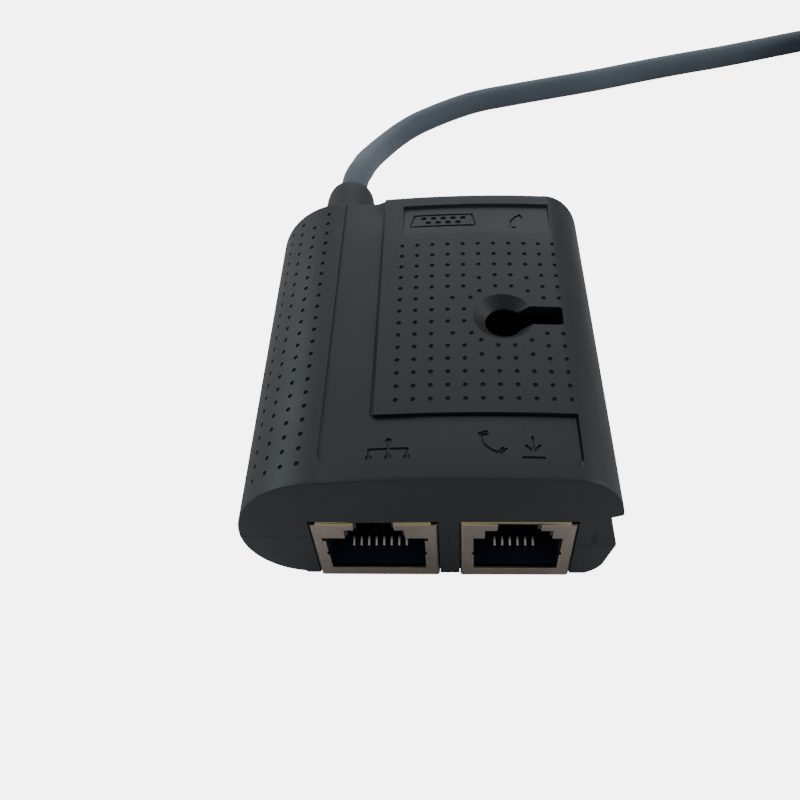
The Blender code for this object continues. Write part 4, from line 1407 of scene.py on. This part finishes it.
@dataclass
class BottomCover(Shell):
    """The lower half, with its rounded left side and its base pad."""

    left_z: float = 0.01128
    right_z: float = 0.00888
    step_x: float = 0.00278
    chamfer: Point2 = (0.0020, 0.0014)
    chamfer_below: float = 0.0020
    grid_across: float = 0.003
    grid_deep: float = 0.004

    def build(self) -> Thing:
        """Builds and dresses the cover."""
        path = self.outline.lower(self.left_z, self.right_z)
        count = len(path)
        path += [(self.step_x, self.left_z), (self.step_x, self.right_z)]
        path += [(self.outline.half_width, self.right_z)]
        wrap = Wrap(path, self.outline)
        ends = float(wrap.way[count - 1])
        keys = [0.0, *wrap.way[count - 1 :], *wrap.way[1:20], *wrap.way[20:count:2]]
        columns = filled(keys, self.grid_across, ends - 0.000001)
        rows = filled(self.edge_rows(), self.grid_deep)
        skin = add_flat_grid("bottom_cover_skin", columns, rows)
        self.round_ends(skin, 0.0, ends)
        wrap.bend(skin)
        self.close_ends(skin)
        carve(skin, [self.hollow_tool()] + self.opening_tools() + self.chamfer_tools())
        smooth(skin, self.crease)
        return self.finishes.dress(skin, "charcoal_base", stands_for=["bottom_cover"])

    def chamfer_tools(self) -> list[Thing]:
        """Wedges that chamfer the pad's front and rear edges."""
        back, rise = self.chamfer
        edge = self.outline.half_length
        tools = []
        for end in (-1, 1):
            corners = [
                (end * (edge + 1.8 * back), rise * 2.8),
                (end * (edge + 1.8 * back), -self.chamfer_below),
                (end * (edge - back * (1 + self.chamfer_below / rise)), -self.chamfer_below),
            ]
            tools.append(add_plate("wedge", corners, -0.03, 0.03, "X"))
        return tools


# --- Jacks ------------------------------------------------------------------------------------
@dataclass
class SpringWires:
    """A jack's spring wires, each with a rounded nose where it bends out of the front lip."""

    finishes: Finishes
    jack: JackPlan
    half_length: float = 0.0250
    width: float = 0.00030
    hinge: Point2 = (0.0036, 0.00195)
    nose: Point2 = (-0.0004, -0.00004)
    nose_radius: float = 0.00026
    blade: tuple[Point2, ...] = (
        (0.0003, -0.00008), (0.0077, 0.00354), (0.0086, 0.00378), (0.0088, 0.0040),
        (0.0086, 0.00415), (0.00755, 0.0039),
    )

    def build(self) -> None:
        """Builds one wire, copies it along the row and puts each on the jack's set of wires."""
        jack = self.jack
        nose = Outline.arc(self.nose, self.nose_radius, self.nose_radius, 115, 285, 10)
        depth = self.half_length - self.hinge[0]
        height = JACK_BASE + self.hinge[1]
        side = [(jack.end * (depth - y), height + z) for y, z in nose + list(self.blade)]
        step = -jack.end * CONTACT_PITCH
        left = jack.x - step * (jack.wires - 1) / 2 - self.width / 2
        first = add_plate(f"{jack.name}_wire_1", side, left, left + self.width, "X")
        round_edges(first, 0.00006, 2, 40.0)
        smooth(first, 40.0)
        wires = [first]
        for number in range(1, jack.wires):
            wires.append(copy_of(first, f"{jack.name}_wire_{number + 1}", (step * number, 0.0, 0.0)))
        body = f"{jack.name}_contacts"
        for number, wire in enumerate(wires, 1):
            stood_for = f"{jack.name}_contact_{number}"
            # Each wire gets gold tips and the near-black painted shade behind them.
            self.finishes.dress(wire, "gold_contact_painted_shade", body=body, stands_for=[stood_for])


NETWORK_OPENING = (
    (-0.0062, 0.0016), (0.0062, 0.0016), (0.0063, 0.0088), (0.0067, 0.0088), (0.0067, 0.0096),
    (0.0038, 0.0096), (0.0038, 0.0116), (0.00255, 0.0116), (0.00255, 0.0131), (-0.00245, 0.0131),
    (-0.00245, 0.0116), (-0.0037, 0.0116), (-0.0037, 0.0096), (-0.0067, 0.0096), (-0.0067, 0.0088),
    (-0.0063, 0.0088),
)
LINE_IN_OPENING = (
    (-0.0054, 0.0016), (0.0054, 0.0016), (0.0055, 0.0096), (0.0042, 0.0096), (0.0042, 0.0115),
    (0.0027, 0.0115), (0.0027, 0.0130), (-0.0026, 0.0130), (-0.0026, 0.0115), (-0.0041, 0.0115),
    (-0.0041, 0.0096), (-0.0055, 0.0096),
)


@dataclass
class ShieldedJack:
    """A front jack: its folded shield, and the finishes of its insert and wires."""

    finishes: Finishes
    jack: JackPlan
    opening: tuple[Point2, ...]
    relief_ends: tuple[int, ...] = (-1, 1)
    low_z: float = 0.0008
    top_z: float = 0.0147
    face_y: float = -0.0252
    back_y: float = -0.0085
    sheet: float = 0.0003
    fold: float = 0.00050
    side_round: float = 0.00025
    clear: float = 0.0005
    relief: Point3 = (0.00088, 0.0009, 0.00046)
    nick: Point2 = (0.00026, 0.0006)
    nick_z: Point2 = (0.0052, 0.0060)

    def build(self) -> None:
        """Builds the shield and dresses the insert and the contact wires."""
        self.build_shield()
        # The housing takes the paler, bluer jack plastic: a painted sheen.
        self.finishes.coat_node(f"{self.jack.name}_housing", "insert_plastic_painted_sheen")
        SpringWires(self.finishes, self.jack).build()

    def build_shield(self) -> Thing:
        """The folded shield with its keyed opening, corner reliefs and small nicks beside the opening."""
        half = self.jack.width / 2
        low = (self.jack.x - half, self.face_y, self.low_z)
        high = (self.jack.x + half, self.back_y, self.top_z)
        shield = add_block(self.jack.name + "_shield_folded", low, high)
        with editing(shield, "EDGE"):
            front = self.face_y + 0.00001
            pick(shield, "edges", lambda edge: all(vert.co.y < front for vert in edge.verts))
            bpy.ops.mesh.bevel(offset=self.fold, segments=4, affect="EDGES")
            pick(shield, "edges", lambda edge: runs_along(edge, 1, 0.005))
            bpy.ops.mesh.bevel(offset=self.side_round, segments=2, affect="EDGES")
        inner_low = Vector(low) + Vector((self.sheet, self.sheet, self.sheet))
        inner_high = Vector(high) + Vector((-self.sheet, 0.001, -self.sheet))
        corners = [(self.jack.x + x, JACK_BASE + z) for x, z in self.opening]
        window = add_plate("opening", corners, self.face_y - 0.001, self.face_y + 0.0012, "Y")
        tools = [add_block("inside", inner_low, inner_high), window]
        top = self.top_z
        wide, deep, tall = self.relief
        for side in self.relief_ends:
            near, far = sorted((side * (half - wide), side * (half + self.clear)))
            cut_low = (self.jack.x + near, self.face_y - self.clear, top - tall)
            tools.append(
                add_block("relief", cut_low, (self.jack.x + far, self.face_y + deep, top + self.clear))
            )
        wide, deep = self.nick
        low_z, high_z = (JACK_BASE + z for z in self.nick_z)
        for side in (-1, 1):
            edge = max(x for x, z in self.opening if z < JACK_BASE + self.nick_z[0])
            at = self.jack.x + side * edge
            cut_low = (at - wide, self.face_y - self.clear, low_z)
            tools.append(add_block("nick", cut_low, (at + wide, self.face_y + deep, high_z)))
        carve(shield, tools)
        round_edges(shield, 0.00004, 1, 50.0)
        smooth(shield, 40.0)
        # The shield metal, and a lighter copy of it that the loop below puts on the fold's upward faces: a
        # painted highlight.
        self.finishes.dress(shield, "nickel_shield", "shield_fold_painted_highlight", stands_for=[self.jack.name + "_shield"])
        for face in shield.data.polygons:
            on_fold = face.center.z > top - 0.0004 and face.center.y < self.face_y + 0.0016
            face.material_index = 1 if on_fold and face.normal.z > 0.25 else 0
        return shield


@dataclass
class PlainJack:
    """A rear jack without a shield: the finishes of its body and wires."""

    finishes: Finishes
    jack: JackPlan

    def build(self) -> None:
        """Dresses the body and builds the contact wires."""
        self.finishes.coat_node(f"{self.jack.name}_housing", "black_body")
        SpringWires(self.finishes, self.jack).build()


@dataclass
class Board:
    """The circuit board and what stands on it."""

    finishes: Finishes

    def build(self) -> None:
        """Dresses the board and its components."""
        plan = {
            "circuit_board": "dark_board",
            "network_transformer": "epoxy_chip",
            "serial_driver_chip": "epoxy_chip",
            "controller_chip": "epoxy_chip",
            "capacitor_1": "capacitor_sleeve",
            "capacitor_2": "capacitor_sleeve",
            "cord_header": "ivory_header",
            "cord_core": "vinyl_jacket",
        }
        for node, finish in plan.items():
            self.finishes.coat_node(node, finish)


# --- Cord -------------------------------------------------------------------------------------
@dataclass
class Cord:
    """The captive cord: its lead, its coil and its free end."""

    finishes: Finishes
    diameter: float = 0.0045
    length: float = 1.0
    lead: tuple[Point3, ...] = (
        (-0.0134, 0.0385, 0.0130), (-0.0134, 0.0423, 0.0130), (-0.0132, 0.0455, 0.0127),
        (-0.0127, 0.0495, 0.0114), (-0.0121, 0.0555, 0.0090), (-0.0105, 0.0635, 0.0057),
        (-0.0075, 0.0715, 0.0033), (-0.0043, 0.0760, 0.0026), (-0.0008, 0.0791, 0.0023),
        (0.0043, 0.0823, 0.0023), (0.0097, 0.0848, 0.0023), (0.0183, 0.0871, 0.0023),
        (0.0269, 0.0892, 0.0023), (0.0357, 0.0914, 0.0023), (0.0446, 0.0940, 0.0023),
        (0.0535, 0.0964, 0.0023), (0.0625, 0.0986, 0.0023), (0.0717, 0.1012, 0.0023),
        (0.0807, 0.1038, 0.0023), (0.0855, 0.1051, 0.0023), (0.0935, 0.1075, 0.00226),
    )
    tail: tuple[Point3, ...] = (
        (0.1353, 0.0765, 0.00672), (0.1353, 0.0725, 0.0063), (0.1353, 0.0676, 0.0053),
        (0.1353, 0.0635, 0.0040), (0.1352, 0.0590, 0.0028), (0.1350, 0.0545, 0.0026),
        (0.1347, 0.0505, 0.0036), (0.1345, 0.0463, 0.0040), (0.1345, 0.0440, 0.0040),
    )
    outer: float = 0.02675
    inner: float = 0.02225
    layer: float = 0.0045
    entry_turn: float = 106.0
    point_every: float = 0.0016

    def build(self) -> Thing:
        """Returns:
            The cord, as a curve of one spline.
        """
        points = self.smoothed(list(self.lead) + self.coil_points() + list(self.tail))
        curve = bpy.data.curves.new("cord_run", "CURVE")
        curve.dimensions = "3D"
        curve.bevel_depth = self.diameter / 2
        curve.bevel_resolution = 7
        curve.use_fill_caps = True
        line = curve.splines.new("POLY")
        line.points.add(len(points) - 1)
        for point, place in zip(line.points, points):
            point.co = (*place, 1.0)
        line.use_smooth = True
        run = linked("cord_run", curve)
        self.finishes.dress(run, "vinyl_jacket", stands_for=["cord", "cord_coil", "cord_tail"])
        return run

    def coil_points(self) -> list[Point3]:
        """The winding: two turns across and three layers high, clockwise seen from above."""
        wide, tight = self.outer, self.inner
        slots = [(wide, 0), (tight, 0), (tight, 1), (tight, 2), (wide, 2), (wide, 1)]
        total = 5 + self.entry_turn / 360
        steps = 200
        found = []
        for step in range(steps + 1):
            turns = total * step / steps
            slot = min(5, int(turns))
            share = turns - slot
            ease = self.ease((share - 0.875) / 0.11) if slot < 5 else 0.0
            radius, level = slots[slot]
            next_radius, next_level = slots[min(5, slot + 1)]
            radius += (next_radius - radius) * ease
            height = self.diameter / 2 + self.layer * (level + (next_level - level) * ease)
            angle = radians(self.entry_turn - 360 * turns)
            middle_x, middle_y = COIL_CENTRE
            found.append((middle_x + radius * cos(angle), middle_y + radius * sin(angle), height))
        return found

    @staticmethod
    def ease(share: float) -> float:
        """A smooth step from 0 to 1."""
        share = min(1.0, max(0.0, share))
        return share * share * (3 - 2 * share)

    def smoothed(self, route: Sequence[Point3]) -> list[Vector]:
        """Close points on a smooth curve through a route's points."""
        knots = [Vector(point) for point in route]
        knots = [2 * knots[0] - knots[1]] + knots + [2 * knots[-1] - knots[-2]]
        found = [knots[1]]
        for before, start, end, after in zip(knots, knots[1:], knots[2:], knots[3:]):
            pieces = max(1, round((end - start).length / self.point_every))
            for piece in range(1, pieces + 1):
                t = piece / pieces
                point = 2 * start + (end - before) * t
                point += (2 * before - 5 * start + 4 * end - after) * t**2
                point += (3 * start - before - 3 * end + after) * t**3
                point /= 2
                point.z = max(point.z, self.diameter / 2)
                found.append(point)
        return found


@dataclass
class StrainRelief:
    """The rubber collar where the cord leaves the rear wall."""

    finishes: Finishes
    centre: Point3 = (-0.0136, 0.0, 0.0130)
    profile: tuple[Point2, ...] = (
        (0.0, 0.0222), (0.0030, 0.0222), (0.0031, 0.0225), (0.0031, 0.0249), (0.0040, 0.0251),
        (0.0043, 0.0254), (0.0043, 0.0262), (0.0042, 0.0310), (0.0041, 0.0355), (0.0040, 0.0375),
        (0.00385, 0.0386), (0.0036, 0.0394), (0.0032, 0.0400), (0.0028, 0.0403), (0.0025, 0.0405),
        (0.0023, 0.0406), (0.0, 0.0407),
    )

    def build(self) -> Thing:
        """Turns the collar, with its flange, its bell and its tapered sleeve."""
        collar = lathe("strain_relief_collar", self.profile, self.centre, 48)
        smooth(collar, 40.0)
        return self.finishes.dress(collar, "relief_rubber", stands_for=["strain_relief"])


@dataclass
class CoilTie:
    """The hook-and-loop strap that holds the coil."""

    finishes: Finishes
    bearing: float = -60.0
    ring: tuple[float, float] = (0.0198, 0.0292)
    heights: Point2 = (0.00004, 0.01372)
    corner: float = 0.0016
    off_floor: float = 0.00002
    thick: float = 0.0008
    width: float = 0.0070

    def build(self) -> Thing:
        """Wraps the strap round the turns and lays its loose end over itself."""
        near, far = self.ring
        high = self.heights[1]
        inner = self.round_turns(self.corner)
        outer = [(x, max(z, self.off_floor)) for x, z in self.round_turns(self.corner + self.thick)]
        strap = add_plate("coil_tie_strap", outer, -self.width / 2, self.width / 2, "Y")
        carve(strap, [add_plate("inside", inner, -self.width, self.width, "Y")])
        top = high + self.thick + 0.00005
        flap = add_block("flap", (near + 0.0022, -self.width / 2 + 0.0002, top),
                         (far - 0.0016, self.width / 2 - 0.0002, top + 0.0006))
        with editing(flap):
            pick(flap, "faces", lambda face: face.normal.x > 0.9)
            bpy.ops.mesh.extrude_region_move(TRANSFORM_OT_translate={"value": (0.0022, 0.0, -0.0004)})
            bpy.ops.mesh.extrude_region_move(TRANSFORM_OT_translate={"value": (0.0011, 0.0, -0.0016)})
        round_edges(flap, 0.0002, 2)
        piece = joined("coil_tie_strap", [strap, flap])
        round_edges(piece, 0.00015, 2, 50.0)
        turn = Matrix.Rotation(radians(self.bearing), 4, "Z")
        piece.data.transform(Matrix.Translation((*COIL_CENTRE, 0.0)) @ turn)
        smooth(piece, 40.0)
        return self.finishes.dress(piece, "black_tie", stands_for=["coil_tie"])

    def round_turns(self, radius: float) -> list[Point2]:
        """The strap's path round the coil's turns, with corners of a radius."""
        left, right = self.ring[0] + self.corner, self.ring[1] - self.corner
        low, high = self.heights[0] + self.corner, self.heights[1] - self.corner
        found: list[Point2] = []
        for x, z, turn in ((left, low, 180), (right, low, 270), (right, high, 0), (left, high, 90)):
            found += Outline.arc((x, z), radius, radius, turn, turn + 90, 6)
        return found


@dataclass
class ModularPlug:
    """The plug on the cord's far end: boot, clear body with its blades, and latch lever."""

    finishes: Finishes
    x: float = 0.1345
    axis_z: float = 0.0040
    nose_y: float = 0.0125
    back_y: float = 0.0340
    half_width: float = 0.00585
    height: float = 0.0080
    blades: int = 8
    cord_way_radius: float = 0.0026

    def build(self) -> list[Thing]:
        """Builds every piece of the plug.

        Returns:
            The pieces that go with the cord.
        """
        return [self.build_body(), self.build_blades(), self.build_boot(), self.build_latch()]

    def build_body(self) -> Thing:
        """The clear body, with a slot over each blade and an opening for the cord."""
        low_z = self.axis_z - self.height / 2 + 0.0001
        high_z = self.axis_z + self.height / 2
        body = add_block("plug_body_clear", (self.x - self.half_width, self.nose_y, low_z),
                         (self.x + self.half_width, self.back_y, high_z))
        way_start = (self.x, self.back_y - 0.0115, self.axis_z)
        way_end = (self.x, self.back_y + 0.001, self.axis_z)
        tools = [
            add_rod("cord_way", way_start, way_end, self.cord_way_radius, sides=24),
            add_block("nose_step", (self.x - 0.0070, self.nose_y - 0.001, high_z - 0.0011),
                      (self.x + 0.0070, self.nose_y + 0.0012, high_z + 0.001)),
            add_block("thumb_hollow", (self.x - 0.0022, self.back_y - 0.0100, high_z - 0.0012),
                      (self.x + 0.0022, self.back_y - 0.0040, high_z + 0.001)),
        ]
        for number in range(self.blades):
            middle = self.blade_x(number)
            tools.append(add_block("slot", (middle - 0.00025, self.nose_y - 0.001, low_z - 0.001),
                                   (middle + 0.00025, self.nose_y + 0.0058, low_z + 0.0011)))
        for side in (-1, 1):
            face = self.x + side * self.half_width
            tools.append(add_block("side_step", (face - 0.0004, self.back_y - 0.0095, low_z + 0.0020),
                                   (face + 0.0004, self.back_y - 0.0035, high_z - 0.0020)))
        carve(body, tools)
        round_edges(body, 0.00018, 2, 50.0)
        smooth(body, 40.0)
        return self.finishes.dress(body, "clear_plug", stands_for=["plug_body"])

    def blade_x(self, number: int) -> float:
        """Where a blade stands."""
        return self.x + (number - (self.blades - 1) / 2) * CONTACT_PITCH

    def build_blades(self) -> Thing:
        """The gold blades, each with a rounded front corner."""
        low_z = self.axis_z - self.height / 2 + 0.0001
        first = add_block("plug_blades", (self.blade_x(0) - 0.00017, self.nose_y + 0.0009, low_z + 0.00045),
                          (self.blade_x(0) + 0.00017, self.nose_y + 0.0052, low_z + 0.0045))
        with editing(first, "EDGE"):
            front, under = self.nose_y + 0.001, low_z + 0.001
            pick(first, "edges", lambda edge: runs_along(edge, 0, 0.0002)
                 and edge.verts[0].co.y < front and edge.verts[0].co.z < under)
            bpy.ops.mesh.bevel(offset=0.0006, segments=4, affect="EDGES")
        row = [first]
        for number in range(1, self.blades):
            row.append(copy_of(first, f"blade_{number}", (number * CONTACT_PITCH, 0.0, 0.0)))
        piece = smooth(joined("plug_blades", row), 40.0)
        return self.finishes.dress(piece, "gold_blade")

    def build_boot(self) -> Thing:
        """The rubber boot: a ribbed sleeve that narrows onto the cord."""
        profile = [(0.0, 0.0343), (0.0036, 0.0343), (0.0038, 0.0346), (0.0038, 0.0362)]
        start, end, ribs = 0.0366, 0.0452, 5
        for rib in range(ribs):
            share = rib / ribs
            at = start + (end - start) * share
            wide = 0.0037 - 0.0009 * share
            step = (end - start) / ribs
            profile += [(wide - 0.0004, at), (wide - 0.0004, at + 0.35 * step), (wide, at + 0.45 * step),
                        (wide, at + 0.9 * step)]
        profile += [(0.00265, 0.0455), (0.0025, 0.0461), (0.0, 0.0461)]
        boot = lathe("plug_boot_ribbed", profile, (self.x, 0.0, self.axis_z), 40)
        round_edges(boot, 0.00008, 1, 40.0)
        smooth(boot, 40.0)
        return self.finishes.dress(boot, "boot_rubber", stands_for=["plug_boot"])

    def build_latch(self) -> Thing:
        """The springy latch lever, hinged at the nose, as the node it replaces lies."""
        low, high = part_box("plug_latch")
        hinge_y, tip_y = low.y, high.y
        foot, tip = low.z, high.z
        middle = (low.x + high.x) / 2
        half = (high.x - low.x) / 2
        slope = (tip - foot - 0.0012) / (tip_y - hinge_y)
        side = [(hinge_y, foot), (hinge_y + 0.0012, foot), (tip_y, tip - 0.0009), (tip_y, tip - 0.0001)]
        side += [(hinge_y + 0.0080, foot + 0.0012 + slope * 0.0080 + 0.0002)]
        side += [(hinge_y + 0.0005, foot + 0.0011), (hinge_y, foot + 0.0008)]
        latch = add_plate("plug_latch_lever", side, middle - half, middle + half, "X")
        tools = []
        for way in (-1, 1):
            edge = middle + way * half
            tools.append(add_block("shoulder", (edge - 0.0008, hinge_y + 0.0062, foot - 0.001),
                                   (edge + 0.0008, tip_y + 0.001, tip + 0.001)))
        carve(latch, tools)
        round_edges(latch, 0.00012, 2, 40.0)
        smooth(latch, 40.0)
        return self.finishes.dress(latch, "clear_plug", body="plug_latch", stands_for=["plug_latch"])


# --- Stage ------------------------------------------------------------------------------------
@dataclass(frozen=True)
class Panel:
    """One soft square lamp, aimed at the box."""

    name: str
    place: Point3
    size: float
    power: float
    colour: Point3
    aim: Point3 = (0.0, 0.0, 0.01)

    def build(self) -> None:
        """Adds the lamp."""
        data = bpy.data.lights.new(self.name, "AREA")
        data.size = self.size
        data.energy = self.power
        data.color = self.colour
        lamp = linked(self.name, data)
        lamp.location = self.place
        ahead = Vector(self.aim) - Vector(self.place)
        lamp.rotation_euler = ahead.to_track_quat("-Z", "Y").to_euler()


@dataclass
class Studio:
    """The camera, the lights and the floor."""

    eye: Point3 = (0.003827, -0.075626, 0.103394)
    elevation: float = 51.71
    yaw: float = -6.194
    roll: float = -5.459
    lens: float = 37.44
    floor_glow: float = 5.5
    floor_z: float = -0.00002
    panels: tuple[Panel, ...] = (
        Panel("key", (-0.50, 0.25, 0.35), 0.40, 1.55, (0.86, 0.94, 1.0)),
        Panel("fill", (0.50, 0.05, 0.25), 0.30, 0.95, (0.9, 0.96, 1.0)),
        Panel("rear", (0.05, 0.60, 0.40), 0.50, 1.15, (0.92, 0.97, 1.0)),
    )

    def build(self) -> None:
        """Sets up the camera, floor, world and lamps."""
        self.set_camera()
        self.lay_floor()
        self.light()

    def set_camera(self) -> None:
        """Places the camera."""
        data = bpy.data.cameras.new("view")
        data.lens = self.lens
        data.sensor_width = 36.0
        data.clip_start = 0.005
        data.clip_end = 20.0
        view = linked("view", data)
        tilt, turn, roll = radians(self.elevation), radians(self.yaw), radians(self.roll)
        ahead = Vector((sin(turn) * cos(tilt), cos(turn) * cos(tilt), -sin(tilt)))
        right = ahead.cross(Vector((0.0, 0.0, 1.0))).normalized()
        up = right.cross(ahead)
        across = cos(roll) * right + sin(roll) * up
        upright = cos(roll) * up - sin(roll) * right
        axes = Matrix((across, upright, -ahead)).transposed()
        view.matrix_world = Matrix.Translation(self.eye) @ axes.to_4x4()
        bpy.context.scene.camera = view

    def lay_floor(self) -> None:
        """Adds the plain pale floor."""
        plane = add_fresh(bpy.ops.mesh.primitive_plane_add, size=6.0, location=(0.0, 0.0, self.floor_z))
        floor = settle(plane, "floor")
        pale = bpy.data.materials.new("pale_floor")
        pale.use_nodes = True
        wiring = Wiring(pale.node_tree)
        paper = wiring.add("BsdfDiffuse", {"Color": (0.8, 0.8, 0.8, 1.0)})
        glow = wiring.add("Emission", {"Color": (1.0, 1.0, 1.0, 1.0), "Strength": self.floor_glow})
        bright = wiring.add("AddShader", {0: paper.outputs[0], 1: glow.outputs[0]})
        wiring.show("OutputMaterial", paper.outputs[0], bright.outputs[0])
        floor.data.materials.append(pale)

    def light(self) -> None:
        """Adds a white surround and soft panels."""
        world = bpy.data.worlds.new("surround")
        bpy.context.scene.world = world
        world.use_nodes = True
        wiring = Wiring(world.node_tree)
        soft = wiring.add("Background", {"Color": (0.93, 0.97, 1.0, 1.0), "Strength": 0.35})
        white = wiring.add("Background", {"Color": (1.0, 1.0, 1.0, 1.0), "Strength": self.floor_glow + 0.3})
        wiring.show("OutputWorld", soft.outputs[0], white.outputs[0])
        for panel in self.panels:
            panel.build()


def write_sizes() -> None:
    """Brings the scene's view layer up to date."""
    bpy.context.view_layer.update()


def main() -> None:
    """Builds the studio, the cord and every sub-assembly, in order."""
    logging.basicConfig(level=logging.INFO, format="%(message)s")
    finishes = Finishes()
    outline = Outline()
    Studio().build()
    cord = Cord(finishes)
    run = cord.build()
    TopCover(outline, finishes).build()
    BottomCover(outline, finishes).build()
    ShieldedJack(finishes, NETWORK, NETWORK_OPENING).build()
    ShieldedJack(finishes, LINE_IN, LINE_IN_OPENING, (1,)).build()
    PlainJack(finishes, SERIAL).build()
    PlainJack(finishes, LINE_OUT).build()
    Board(finishes).build()
    collar = StrainRelief(finishes).build()
    tie = CoilTie(finishes).build()
    plug = ModularPlug(finishes).build()
    write_sizes()


if __name__ == "__main__":
    main()
